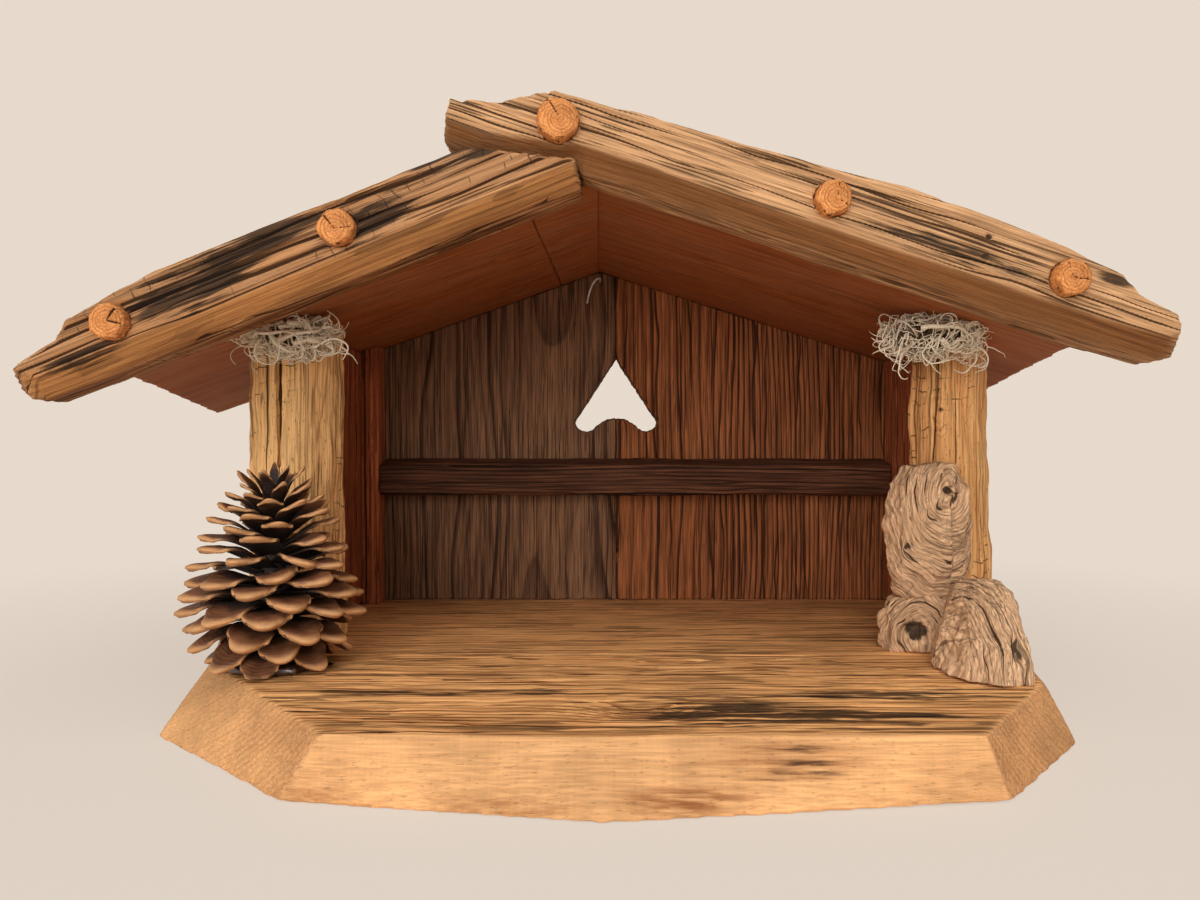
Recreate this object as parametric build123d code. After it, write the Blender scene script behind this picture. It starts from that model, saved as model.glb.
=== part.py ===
from build123d import *

import math
import os

# A rustic nativity stable of old timber. A bevelled base of two planks carries two bark
# posts, board walls and a gable roof. Two barge boards are screwed to the front edges of
# the roof boards, with wooden pegs set over the screws. Lichen, a pine cone and weathered
# pieces of bark are glued on as trim.
# Millimetres. +X is right, +Y is back, +Z is up. The origin lies on the underside of the
# base, in the middle of its depth.

# Base planks
base_thickness = 16.0
base_half_width = 132.0
front_plank_depth = 91.0
rear_plank_depth = 121.0
base_rear_margin = 9.0
base_dowel_diameter = 6.0
base_dowel_length = 40.0
base_dowel_shares = (-0.55, 0.05, 0.65)
seam_foot_shares = (-0.97, 1.06)
seam_top_shares = (-0.92, 1.02)
front_foot_shares = ((-0.955, 0.35), (-0.57, 0.86), (0.0, 1.0), (0.725, 0.87), (1.0, 0.42))
front_top_shares = ((-0.91, 0.10), (-0.49, 0.865), (0.0, 0.87), (0.68, 0.865), (0.95, 0.36))
rear_foot_shares = ((1.11, 1.0), (-1.015, 1.0))
rear_top_shares = ((1.07, 0.985), (-0.97, 0.985))

# Roof boards
ridge_height = 158.0
left_pitch = 19.6
right_pitch = 17.5
roof_thickness = 15.0
roof_front = -45.0
roof_rear_overhang = 4.0
left_roof_front_length = 152.5
left_roof_rear_length = 182.0
right_roof_front_length = 147.0
right_roof_rear_length = 176.0
right_roof_overlap = 26.0
ridge_strip_front_width = 22.0
ridge_strip_rear_width = 17.0

# Barge boards, in front of the roof boards
barge_thickness = 16.0
barge_width = 22.0
barge_chamfer_height = 6.0
barge_chamfer_depth = 5.5
barge_end_slant = 3.0
left_barge_pitch = 22.0
left_barge_length = 150.0
left_barge_start = 7.0
left_barge_drop = 3.6
right_barge_pitch = 18.4
right_barge_length = 165.0
right_barge_start = 4.9
right_barge_drop = 2.7
# Each row: place along the board, place across it, how much of the chamfer it takes, and how
# much of the end's slant
left_barge_shares = (
    (-0.015, 0.0, 1.0, 0.0),
    (1.034, 0.055, 1.0, 1.0),
    (1.06, 0.16, 1.0, 1.0),
    (1.07, 0.34, 0.7, 1.0),
    (1.046, 0.56, 0.0, 0.0),
    (0.965, 0.63, 0.0, 0.0),
    (0.93, 0.83, 0.0, 0.0),
    (0.75, 0.99, 0.0, 0.0),
    (0.415, 0.97, 0.0, 0.0),
    (0.149, 0.934, 0.0, 0.0),
    (0.02, 0.48, 0.0, 0.0),
    (-0.023, 0.33, 0.0, 0.0),
)
right_barge_shares = (
    (0.0, 0.0, 1.0, 0.0),
    (0.872, 0.0, 1.0, 0.0),
    (1.0, 0.055, 1.0, 0.6),
    (1.026, 0.16, 0.95, 1.0),
    (1.005, 0.5, 0.0, 0.0),
    (0.995, 0.61, 0.0, 0.0),
    (0.93, 0.686, 0.0, 0.0),
    (0.883, 0.89, 0.0, 0.0),
    (0.735, 0.995, 0.0, 0.0),
    (0.51, 1.045, 0.0, 0.0),
    (0.277, 0.94, 0.0, 0.0),
    (-0.04, 0.82, 0.0, 0.0),
    (-0.082, 0.8, 0.0, 0.0),
    (-0.168, 0.44, 0.0, 0.0),
    (-0.24, 0.31, 0.0, 0.0),
    (-0.236, -0.148, 0.75, 0.0),
    (-0.172, -0.164, 0.7, 0.0),
    (-0.0175, 0.088, 0.65, 0.0),
)

# Pegs over the barge screws
peg_diameter = 9.5
ridge_peg_diameter = 11.0
peg_proud = 3.6
peg_depth = 7.0
barge_screw_diameter = 3.5
barge_screw_length = 34.0
barge_screw_head_diameter = 7.0
barge_screw_head_height = 2.5
left_peg_shares = {"left_eave_peg": (0.855, 0.58), "left_middle_peg": (0.417, 0.605)}
ridge_peg_shares = {"ridge_peg": (-0.06, 0.45)}
right_peg_shares = {"right_middle_peg": (0.4, 0.605), "right_eave_peg": (0.805, 0.6)}

# Posts
left_post_x = -106.5
left_post_y = 15.5
left_post_width = 33.0
left_post_depth = 30.0
right_post_x = 122.2
right_post_y = 13.8
right_post_width = 27.0
right_post_depth = 26.0
post_dowel_diameter = 8.0
post_dowel_length = 22.0
post_dowel_base_share = 0.5
post_crack_width = 2.0
post_crack_depth = 7.0
post_crack_turn = -8.0
post_crack_foot_share = 0.42
post_outline_shares = (1.0, 0.97, 1.02, 0.98, 1.01, 0.96, 1.0, 0.98, 1.02, 0.97, 1.0, 0.98)
# Each row: place up the post, girth, and lean to the side
left_post_level_shares = ((0.0, 1.05, 0.0), (0.2, 1.0, 0.01), (0.6, 0.97, -0.01), (1.0, 1.0, 0.02))
right_post_level_shares = ((0.0, 1.06, 0.02), (0.25, 1.02, 0.0), (0.6, 0.96, -0.02), (1.0, 0.98, 0.01))

# Walls
wall_thickness = 10.0
left_wall_inner = -100.0
right_wall_inner = 122.0
back_wall_front = 87.0
back_wall_seam = 7.0
batten_width = 7.5
batten_depth = 12.0
rail_bottom = 62.0
rail_height = 15.5
rail_depth = 14.0
rail_top_slant = 3.0

# Window in the back wall
window_top = 120.5
window_half_width = 18.0
window_drop = 27.5
window_corner_drop = 30.0
window_foot_drop = 30.6
window_foot_half_width = 9.5
window_arch_drop = 26.0
window_corner_inset_share = 0.07

# Nails and screws in the walls and the roof
nail_diameter = 1.6
nail_length = 26.0
nail_head_diameter = 3.2
nail_head_height = 0.8
back_nail_shares = (0.25, 0.55, 0.85)
rail_nail_shares = (0.12, 0.4, 0.64, 0.9)
roof_nail_shares = (0.35, 0.8)
base_screw_diameter = 3.0
base_screw_head_diameter = 6.0
base_screw_head_height = 2.4
base_screw_length = 32.0
side_screw_share = 0.6
back_screw_shares = (0.25, 0.75)

# Ridge hook
hook_wire_diameter = 1.1
hook_hold = 6.0
hook_below_ridge = 4.6
hook_reach = 8.0
hook_drop = 10.5
hook_swing = 5.5
hook_bend_radius = 2.4

# Lichen tufts round the post tops
left_lichen_width = 38.0
left_lichen_depth = 40.0
left_lichen_hang = 13.0
left_lichen_shift = 8.0
right_lichen_width = 42.0
right_lichen_depth = 38.0
right_lichen_hang = 15.0
right_lichen_shift = -13.0
lichen_forward_share = 0.55
lichen_outline_shares = (1.0, 0.93, 1.0, 0.95, 1.02, 0.92, 0.98, 0.94, 1.0, 0.95)
lichen_foot_share = 0.8

# Pine cone
cone_x = -98.5
cone_y = -30.5
cone_height = 61.0
cone_radius = 28.0
cone_pad_radius = 12.0
cone_pad_thickness = 2.5
cone_core_radius = 6.5
cone_core_top_share = 0.3
cone_core_height_share = 0.86
cone_scale_count = 72
cone_scale_width = 13.0
cone_scale_thickness = 2.2
cone_first_root_share = 0.09
cone_last_root_share = 0.8
cone_root_depth_share = 0.5
cone_slim_share = 0.15
# Each row: place up the cone, reach of the scale tip, and tilt of the scale in degrees
cone_profile_shares = ((0.0, 0.72), (0.2, 1.0), (0.45, 0.9), (0.7, 0.64), (0.88, 0.38), (1.0, 0.2))
cone_tilt_degrees = ((0.0, -8.0), (0.2, 4.0), (0.5, 20.0), (0.8, 46.0), (1.0, 70.0))
# Each row: place along the scale, width, and thickness
cone_scale_shares = ((0.0, 0.34, 0.75), (0.66, 1.0, 1.0), (0.9, 0.92, 1.3), (1.0, 0.5, 0.8))

# Bark pieces beside the right post
rear_bark_x = 104.0
rear_bark_y = -5.0
rear_bark_width = 25.0
rear_bark_depth = 20.0
rear_bark_height = 17.0
upper_bark_x = 109.4
upper_bark_y = -3.0
upper_bark_width = 29.5
upper_bark_depth = 17.0
upper_bark_height = 49.0
upper_bark_sink = 5.0
front_bark_x = 112.0
front_bark_y = -36.0
front_bark_width = 25.0
front_bark_depth = 40.0
front_bark_height = 26.0
# Each row: height, then width, depth, and shifts to the side and to the back at that height
rear_bark_level_shares = ((0.0, 1.0, 1.0, 0.0, 0.0), (0.55, 0.96, 0.96, 0.02, 0.03), (1.0, 0.7, 0.75, 0.05, 0.1))
upper_bark_level_shares = (
    (0.0, 0.64, 0.75, -0.02, 0.05),
    (0.3, 0.95, 0.98, 0.0, 0.0),
    (0.6, 1.0, 1.0, 0.0, 0.02),
    (0.86, 0.9, 0.9, 0.02, 0.08),
    (1.0, 0.62, 0.66, 0.04, 0.16),
)
front_bark_level_shares = (
    (0.0, 1.0, 1.0, 0.0, 0.0),
    (0.35, 0.93, 0.86, 0.06, 0.06),
    (0.75, 0.72, 0.62, 0.13, 0.16),
    (1.0, 0.42, 0.36, 0.2, 0.27),
)
bark_outline_shares = (
    (0.5, 0.1),
    (0.36, 0.42),
    (0.02, 0.5),
    (-0.34, 0.4),
    (-0.5, 0.08),
    (-0.38, -0.34),
    (-0.04, -0.5),
    (0.36, -0.4),
)

# Derived places
base_seam = back_wall_front + wall_thickness + base_rear_margin - rear_plank_depth
base_top = base_thickness
roof_rear = back_wall_front + wall_thickness + roof_rear_overhang
barge_front = roof_front - barge_thickness
left_wall_outer = left_wall_inner - wall_thickness
right_wall_outer = right_wall_inner + wall_thickness
back_wall_rear = back_wall_front + wall_thickness


def roof_plane(side, pitch):
    """Underside of one roof slope: side is -1 on the left and 1 on the right."""
    rise = math.sin(math.radians(pitch))
    run = math.cos(math.radians(pitch))
    return Plane(origin=(0, 0, ridge_height), x_dir=(run, 0, -side * rise), z_dir=(side * rise, 0, run))


left_underside = roof_plane(-1, left_pitch)
right_underside = roof_plane(1, right_pitch)


def roof_underside(x):
    """Height of the roof's underside above the table at a place across the front."""
    pitch = left_pitch if x < 0 else right_pitch
    return ridge_height - abs(x) * math.tan(math.radians(pitch))


def under_roof(shape):
    """Trim the top of a piece to both slopes of the roof."""
    shape = split(shape, bisect_by=left_underside, keep=Keep.BOTTOM)
    return split(shape, bisect_by=right_underside, keep=Keep.BOTTOM)


def closed_face(points):
    return make_face(Polyline(*points, close=True))


def tapered(sections):
    """Solid with straight sides from one outline to the next."""
    return loft([closed_face(points) for points in sections], ruled=True)


def block(low, high):
    """Square-edged board between two opposite corners."""
    size = [high[i] - low[i] for i in range(3)]
    centre = [(high[i] + low[i]) / 2 for i in range(3)]
    return Pos(*centre) * Box(*size)


def rod(start, direction, length, diameter):
    """Round bar from a start point along a direction."""
    plane = Plane(origin=start, z_dir=direction)
    return extrude(plane * Circle(diameter / 2), amount=length)


def headed(start, direction, length, diameter, head_diameter, head_height):
    """Nail or screw with a flat head, from the outer face of its head."""
    head = rod(start, direction, head_height, head_diameter)
    return head + rod(start, direction, length, diameter)


def between(table, place):
    """Value at a place in a table of places and values, on straight lines."""
    for (low, first), (high, second) in zip(table, table[1:]):
        if place <= high:
            return first + (second - first) * (place - low) / (high - low)
    return table[-1][1]


# Base planks and their dowels


def base_point(x_share, y_share, depth, z):
    return (x_share * base_half_width, base_seam + y_share * depth, z)


def base_plank(foot_shares, top_shares, depth):
    """Plank with sloping sides, from its outlines at the underside and at the top."""
    sections = []
    for shares, seam, z in ((foot_shares, seam_foot_shares, 0), (top_shares, seam_top_shares, base_top)):
        row = [base_point(seam[0], 0, depth, z)]
        row += [base_point(x, y, depth, z) for x, y in shares]
        row += [base_point(seam[1], 0, depth, z)]
        sections.append(row)
    return tapered(sections)


front_plank = base_plank(front_foot_shares, front_top_shares, -front_plank_depth)
rear_plank = base_plank(tuple(reversed(rear_foot_shares)), tuple(reversed(rear_top_shares)), rear_plank_depth)
base_dowels = []
for share in base_dowel_shares:
    start = (share * base_half_width, base_seam - base_dowel_length / 2, base_thickness / 2)
    base_dowels.append(rod(start, (0, 1, 0), base_dowel_length, base_dowel_diameter))
for dowel in base_dowels:
    front_plank -= dowel
    rear_plank -= dowel


# Posts and their dowels


def post(x, y, width, depth, level_shares):
    """Rough round post, trimmed under the roof."""
    count = len(post_outline_shares)
    height = ridge_height - base_top
    sections = []
    for level, girth, lean in level_shares:
        row = []
        for i, share in enumerate(post_outline_shares):
            turn = math.tau * i / count
            across = share * girth * math.cos(turn) + lean
            along = share * girth * math.sin(turn)
            row.append((x + across * width / 2, y + along * depth / 2, base_top + level * height))
        sections.append(row)
    return under_roof(tapered(sections))


def post_crack(x, y, depth):
    """Wedge that opens a drying crack in the front of a post."""
    foot = base_top + post_crack_foot_share * (ridge_height - base_top)
    plane = Plane(origin=(x, y, foot), z_dir=(0, 0, 1)) * Rot(Z=post_crack_turn)
    reach = depth
    tip = reach / 2 - post_crack_depth
    half = post_crack_width / 2 * (reach - tip) / post_crack_depth
    face = plane * closed_face([(0, -tip), (-half, -reach), (half, -reach)])
    return extrude(face, amount=ridge_height)


def post_dowel(x, y):
    start = (x, y, base_top - post_dowel_base_share * post_dowel_length)
    return rod(start, (0, 0, 1), post_dowel_length, post_dowel_diameter)


left_post = post(left_post_x, left_post_y, left_post_width, left_post_depth, left_post_level_shares)
left_post -= post_crack(left_post_x, left_post_y, left_post_depth)
right_post = post(right_post_x, right_post_y, right_post_width, right_post_depth, right_post_level_shares)
post_dowels = [post_dowel(left_post_x, left_post_y), post_dowel(right_post_x, right_post_y)]


# Walls


def side_wall(inner, outer, post_y, post_solid):
    """Board from its post back to the back wall, fitted round the post."""
    low = (min(inner, outer), post_y, base_top)
    high = (max(inner, outer), back_wall_front, ridge_height)
    return under_roof(block(low, high) - post_solid)


def window():
    """Pointed opening with rounded lower corners and an arched sill."""
    corner = window_half_width * (1 - window_corner_inset_share)

    def spot(x, drop):
        return (back_wall_seam + x, 0, window_top - drop)

    foot = window_foot_half_width
    outline = [
        Line(spot(0, 0), spot(window_half_width, window_drop)),
        ThreePointArc(
            spot(window_half_width, window_drop),
            spot(corner, window_corner_drop),
            spot(foot, window_foot_drop),
        ),
        ThreePointArc(spot(foot, window_foot_drop), spot(0, window_arch_drop), spot(-foot, window_foot_drop)),
        ThreePointArc(
            spot(-foot, window_foot_drop),
            spot(-corner, window_corner_drop),
            spot(-window_half_width, window_drop),
        ),
        Line(spot(-window_half_width, window_drop), spot(0, 0)),
    ]
    return extrude(make_face(outline), amount=back_wall_rear + wall_thickness, dir=(0, 1, 0))


def rear_rail():
    """Rail across the back wall, with a sloping top."""
    front = back_wall_front - rail_depth
    top = rail_bottom + rail_height
    start = left_wall_inner + batten_width
    profile = closed_face([
        (start, back_wall_front, rail_bottom),
        (start, front, rail_bottom),
        (start, front, top - rail_top_slant),
        (start, back_wall_front, top),
    ])
    return extrude(profile, amount=right_wall_inner - start, dir=(1, 0, 0))


left_side_wall = side_wall(left_wall_inner, left_wall_outer, left_post_y, left_post)
right_side_wall = side_wall(right_wall_inner, right_wall_outer, right_post_y, right_post)
left_post -= post_dowels[0]
right_post -= post_dowels[1]
for dowel in post_dowels:
    rear_plank -= dowel
corner_batten = under_roof(block(
    (left_wall_inner, back_wall_front - batten_depth, base_top),
    (left_wall_inner + batten_width, back_wall_front, ridge_height),
))
back_left_board = under_roof(block(
    (left_wall_outer, back_wall_front, base_top), (back_wall_seam, back_wall_rear, ridge_height)
)) - window()
back_right_board = under_roof(block(
    (back_wall_seam, back_wall_front, base_top), (right_wall_outer, back_wall_rear, ridge_height)
)) - window()
rail = rear_rail()


# Roof boards


def roof_board(plane, corners):
    """Board on one slope, from its corners along the slope and along the depth."""
    face = closed_face([plane.from_local_coords((x, y, 0)) for x, y in corners])
    return extrude(face, amount=roof_thickness, dir=plane.z_dir)


left_roof_board = roof_board(left_underside, [
    (-left_roof_front_length, roof_front),
    (-ridge_strip_front_width, roof_front),
    (-ridge_strip_rear_width, roof_rear),
    (-left_roof_rear_length, roof_rear),
])
left_roof_board = split(left_roof_board, bisect_by=right_underside, keep=Keep.BOTTOM)
ridge_strip = roof_board(left_underside, [
    (-ridge_strip_front_width, roof_front),
    (roof_thickness, roof_front),
    (roof_thickness, roof_rear),
    (-ridge_strip_rear_width, roof_rear),
])
ridge_strip = split(ridge_strip, bisect_by=right_underside, keep=Keep.BOTTOM)
right_roof_board = roof_board(right_underside, [
    (-right_roof_overlap, roof_front),
    (right_roof_front_length, roof_front),
    (right_roof_rear_length, roof_rear),
    (-right_roof_overlap, roof_rear),
])


# Barge boards, pegs and the screws under the pegs


def barge_spot(side, along, across):
    """Place on the front of a barge board, from the foot of its ridge end."""
    pitch = math.radians(left_barge_pitch if side < 0 else right_barge_pitch)
    start = left_barge_start if side < 0 else right_barge_start
    drop = left_barge_drop if side < 0 else right_barge_drop
    slope = math.tan(math.radians(left_pitch if side < 0 else right_pitch))
    lift = start * slope if side > 0 else -start * slope
    x = -start + side * (along * math.cos(pitch) + across * math.sin(pitch))
    z = ridge_height + lift - drop - along * math.sin(pitch) + across * math.cos(pitch)
    return x, z


def barge_board(side, length, shares):
    """Board with a worn outline and a chamfer along its lower front edge."""
    sections = []
    for y, chamfer, inset in (
        (barge_front, barge_chamfer_height, barge_end_slant),
        (barge_front + barge_chamfer_depth, 0, 0),
        (roof_front, 0, 0),
    ):
        row = []
        for along, across, cut, slant in shares:
            x, z = barge_spot(side, along * length - slant * inset, across * barge_width + cut * chamfer)
            row.append((x, y, z))
        sections.append(row)
    return tapered(sections)


left_barge = barge_board(-1, left_barge_length, left_barge_shares)
right_barge = barge_board(1, right_barge_length, right_barge_shares)
left_barge -= right_barge

pegs = {}
barge_screws = []
for side, length, places, diameter in (
    (-1, left_barge_length, left_peg_shares, peg_diameter),
    (1, right_barge_length, ridge_peg_shares, ridge_peg_diameter),
    (1, right_barge_length, right_peg_shares, peg_diameter),
):
    for name, (along, across) in places.items():
        x, z = barge_spot(side, along * length, across * barge_width)
        seat = barge_front + peg_depth
        pegs[name] = rod((x, barge_front - peg_proud, z), (0, 1, 0), peg_proud + peg_depth, diameter)
        screw = headed(
            (x, seat, z),
            (0, 1, 0),
            barge_screw_length,
            barge_screw_diameter,
            barge_screw_head_diameter,
            barge_screw_head_height,
        )
        barge_screws.append(screw)
        bore = pegs[name] + screw
        if side < 0:
            left_barge -= bore
            left_roof_board -= screw
        else:
            right_barge -= bore
            right_roof_board -= screw


# Nails and screws in the walls and the roof


def nail(start, direction, length):
    return headed(start, direction, length, nail_diameter, nail_head_diameter, nail_head_height)


left_wall_middle = (left_wall_inner + left_wall_outer) / 2
right_wall_middle = (right_wall_inner + right_wall_outer) / 2

back_wall_nails = []
for x in (left_wall_middle, right_wall_middle):
    for share in back_nail_shares:
        z = base_top + share * (roof_underside(x) - base_top)
        pin = nail((x, back_wall_rear, z), (0, -1, 0), nail_length)
        back_wall_nails.append(pin)
        if x < 0:
            back_left_board -= pin
            left_side_wall -= pin
        else:
            back_right_board -= pin
            right_side_wall -= pin

rail_nails = []
for share in rail_nail_shares:
    x = left_wall_inner + share * (right_wall_inner - left_wall_inner)
    reach = wall_thickness + rail_depth / 2
    pin = nail((x, back_wall_rear, rail_bottom + rail_height / 2), (0, -1, 0), reach)
    rail_nails.append(pin)
    rail -= pin
    if x < back_wall_seam:
        back_left_board -= pin
    else:
        back_right_board -= pin

roof_nails = []
for x, post_y, plane in (
    (left_wall_middle, left_post_y, left_underside),
    (right_wall_middle, right_post_y, right_underside),
):
    foot = Vector(x, 0, roof_underside(x))
    for share in roof_nail_shares:
        y = post_y + share * (back_wall_front - post_y)
        start = foot + Vector(0, y, 0) + plane.z_dir * roof_thickness
        pin = nail(start, -plane.z_dir, nail_length)
        roof_nails.append(pin)
        if x < 0:
            left_roof_board -= pin
            left_side_wall -= pin
        else:
            right_roof_board -= pin
            right_side_wall -= pin


def base_screw(x, y):
    return headed(
        (x, y, 0),
        (0, 0, 1),
        base_screw_length,
        base_screw_diameter,
        base_screw_head_diameter,
        base_screw_head_height,
    )


base_screws = []
for x, post_y in ((left_wall_middle, left_post_y), (right_wall_middle, right_post_y)):
    screw = base_screw(x, post_y + side_screw_share * (back_wall_front - post_y))
    base_screws.append(screw)
    rear_plank -= screw
    if x < 0:
        left_side_wall -= screw
    else:
        right_side_wall -= screw
for share in back_screw_shares:
    x = left_wall_outer + share * (right_wall_outer - left_wall_outer)
    screw = base_screw(x, back_wall_front + wall_thickness / 2)
    base_screws.append(screw)
    rear_plank -= screw
    if x < back_wall_seam:
        back_left_board -= screw
    else:
        back_right_board -= screw


# Ridge hook, held in the back wall


def ridge_hook():
    """Bent wire that comes out of the back wall and turns down under the ridge."""
    height = ridge_height - hook_below_ridge
    start = (0, back_wall_front + hook_hold, height)
    bend = (0, back_wall_front - hook_reach, height)
    tip = (-hook_swing, back_wall_front - hook_reach, height - hook_drop)
    path = FilletPolyline(start, bend, tip, radius=hook_bend_radius)
    section = Plane(origin=start, z_dir=(0, -1, 0)) * Circle(hook_wire_diameter / 2)
    return sweep(section, path=path)


hook = ridge_hook()
back_left_board -= rod(
    (0, back_wall_front, ridge_height - hook_below_ridge), (0, 1, 0), hook_hold, hook_wire_diameter
)


# Lichen tufts


def lichen(x, y, width, depth, hang, post_solid, wall_solid):
    """Tuft round the front of a post top, filled up to the roof."""
    count = len(lichen_outline_shares)
    middle = y - lichen_forward_share * depth
    foot = roof_underside(x) - hang
    sections = []
    for z, girth in ((foot, lichen_foot_share), ((foot + ridge_height) / 2, 1), (ridge_height, 1)):
        row = []
        for i, share in enumerate(lichen_outline_shares):
            turn = math.tau * i / count
            row.append((
                x + girth * share * math.cos(turn) * width / 2,
                middle + girth * share * math.sin(turn) * depth / 2,
                z,
            ))
        sections.append(row)
    return under_roof(tapered(sections)) - post_solid - wall_solid


left_lichen = lichen(
    left_post_x + left_lichen_shift,
    left_post_y,
    left_lichen_width,
    left_lichen_depth,
    left_lichen_hang,
    left_post,
    left_side_wall,
)
right_lichen = lichen(
    right_post_x + right_lichen_shift,
    right_post_y,
    right_lichen_width,
    right_lichen_depth,
    right_lichen_hang,
    right_post,
    right_side_wall,
)


# Pine cone on its glue pad

cone_foot = base_top + cone_pad_thickness
core_height = cone_core_height_share * cone_height


def core_radius(z):
    """Radius of the cone's core at a height above its foot."""
    return cone_core_radius * (1 - (1 - cone_core_top_share) * z / core_height)


def cone_core():
    foot = Plane(origin=(cone_x, cone_y, cone_foot)) * Circle(cone_core_radius)
    top = Plane(origin=(cone_x, cone_y, cone_foot + core_height)) * Circle(core_radius(core_height))
    return loft([foot, top], ruled=True)


def cone_scale(index, core):
    """One woody scale: narrow at its root, wide and thick near its tip."""
    place = (index + 0.5) / cone_scale_count
    turn = index * math.pi * (3 - math.sqrt(5))
    root_share = cone_first_root_share + place * (cone_last_root_share - cone_first_root_share)
    root_height = root_share * cone_height
    root_radius = cone_root_depth_share * core_radius(root_height)
    reach = between(cone_profile_shares, place)
    tilt = math.radians(between(cone_tilt_degrees, place))
    length = (reach * cone_radius - root_radius) / math.cos(tilt)
    slim = cone_slim_share + (1 - cone_slim_share) * reach
    out = Vector(math.cos(turn), math.sin(turn), 0)
    along = out * math.cos(tilt) + Vector(0, 0, math.sin(tilt))
    across = Vector(-math.sin(turn), math.cos(turn), 0)
    up = along.cross(across) * -1
    root = Vector(cone_x, cone_y, cone_foot + root_height) + out * root_radius
    sections = []
    for spot, wide, thick in cone_scale_shares:
        middle = root + along * (spot * length)
        side = across * (wide * slim * cone_scale_width / 2)
        rise = up * (thick * slim * cone_scale_thickness / 2)
        sections.append([middle - side - rise, middle + side - rise, middle + side + rise, middle - side + rise])
    return tapered(sections) - core


pine_cone_core = cone_core()
pine_cone_scales = [cone_scale(i, pine_cone_core) for i in range(cone_scale_count)]
pine_cone_pad = rod((cone_x, cone_y, base_top), (0, 0, 1), cone_pad_thickness, cone_pad_radius * 2)


# Bark pieces


def bark(x, y, z, size, level_shares):
    """Rough block built up from outlines at several heights."""
    width, depth, height = size
    sections = []
    for level, wide, deep, shift_x, shift_y in level_shares:
        row = []
        for across, along in bark_outline_shares:
            row.append((
                x + (across * wide + shift_x) * width,
                y + (along * deep + shift_y) * depth,
                z + level * height,
            ))
        sections.append(row)
    return tapered(sections)


rear_bark = bark(
    rear_bark_x,
    rear_bark_y,
    base_top,
    (rear_bark_width, rear_bark_depth, rear_bark_height),
    rear_bark_level_shares,
) - right_post
upper_bark = bark(
    upper_bark_x,
    upper_bark_y,
    base_top + rear_bark_height - upper_bark_sink,
    (upper_bark_width, upper_bark_depth, upper_bark_height),
    upper_bark_level_shares,
) - right_post - rear_bark
front_bark = bark(
    front_bark_x,
    front_bark_y,
    base_top,
    (front_bark_width, front_bark_depth, front_bark_height),
    front_bark_level_shares,
) - right_post - rear_bark - upper_bark


# Files

pieces = {
    "front_base_plank": front_plank,
    "rear_base_plank": rear_plank,
    "left_post": left_post,
    "right_post": right_post,
    "left_side_wall": left_side_wall,
    "right_side_wall": right_side_wall,
    "left_corner_batten": corner_batten,
    "back_wall_left_board": back_left_board,
    "back_wall_right_board": back_right_board,
    "rear_rail": rail,
    "left_roof_board": left_roof_board,
    "left_ridge_strip": ridge_strip,
    "right_roof_board": right_roof_board,
    "left_barge_board": left_barge,
    "right_barge_board": right_barge,
    "ridge_hook": hook,
    "left_lichen": left_lichen,
    "right_lichen": right_lichen,
    "pine_cone_core": pine_cone_core,
    "pine_cone_pad": pine_cone_pad,
    "rear_bark": rear_bark,
    "upper_bark": upper_bark,
    "front_bark": front_bark,
}
pieces.update(pegs)

groups = {
    "base_dowels": base_dowels,
    "post_dowels": post_dowels,
    "barge_screws": barge_screws,
    "back_wall_nails": back_wall_nails,
    "rail_nails": rail_nails,
    "roof_nails": roof_nails,
    "base_screws": base_screws,
    "pine_cone_scales": pine_cone_scales,
}

os.makedirs("parts", exist_ok=True)
for name, shape in pieces.items():
    export_step(Compound(shape.solids()), f"parts/{name}.step")
for name, shapes in groups.items():
    solids = [solid for shape in shapes for solid in shape.solids()]
    export_step(Compound(solids), f"parts/{name}.step")
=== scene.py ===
import itertools
import math
from dataclasses import dataclass

import bmesh
import bpy
import numpy as np
from bpy.props import FloatProperty, FloatVectorProperty, IntProperty, PointerProperty
from mathutils import Matrix, Vector


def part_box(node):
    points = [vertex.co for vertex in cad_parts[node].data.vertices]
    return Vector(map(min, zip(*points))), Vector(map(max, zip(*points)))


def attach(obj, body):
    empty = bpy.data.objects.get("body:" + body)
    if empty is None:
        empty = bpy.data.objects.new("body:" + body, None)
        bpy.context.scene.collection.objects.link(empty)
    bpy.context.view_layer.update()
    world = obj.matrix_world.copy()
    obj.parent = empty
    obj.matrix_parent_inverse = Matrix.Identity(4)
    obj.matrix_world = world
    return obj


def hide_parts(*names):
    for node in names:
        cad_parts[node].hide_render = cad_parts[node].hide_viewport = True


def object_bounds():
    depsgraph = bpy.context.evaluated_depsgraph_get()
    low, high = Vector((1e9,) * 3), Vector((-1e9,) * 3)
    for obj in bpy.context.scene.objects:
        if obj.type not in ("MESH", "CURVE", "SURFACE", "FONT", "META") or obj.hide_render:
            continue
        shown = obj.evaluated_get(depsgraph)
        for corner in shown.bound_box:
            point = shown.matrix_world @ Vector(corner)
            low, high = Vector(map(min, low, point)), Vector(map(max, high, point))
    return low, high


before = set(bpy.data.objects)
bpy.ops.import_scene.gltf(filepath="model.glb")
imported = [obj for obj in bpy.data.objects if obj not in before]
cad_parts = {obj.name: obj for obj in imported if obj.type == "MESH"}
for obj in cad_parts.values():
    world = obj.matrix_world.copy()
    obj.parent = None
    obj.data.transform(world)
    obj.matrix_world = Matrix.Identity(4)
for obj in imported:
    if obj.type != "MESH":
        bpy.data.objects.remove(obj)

bl_info = {
    "name": "Weathered Timber Stable",
    "version": (1, 0, 0),
    "blender": (4, 5, 0),
    "location": "3D View > Sidebar > Stable",
    "description": "Aged timber, trim and stage for a small wooden stable",
    "category": "Object",
}

CAD_LOW, CAD_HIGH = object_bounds()
MM = 0.001
X, Y, Z = np.eye(3)


# Smooth noise in numpy, for work on the surface of the pieces

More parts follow.
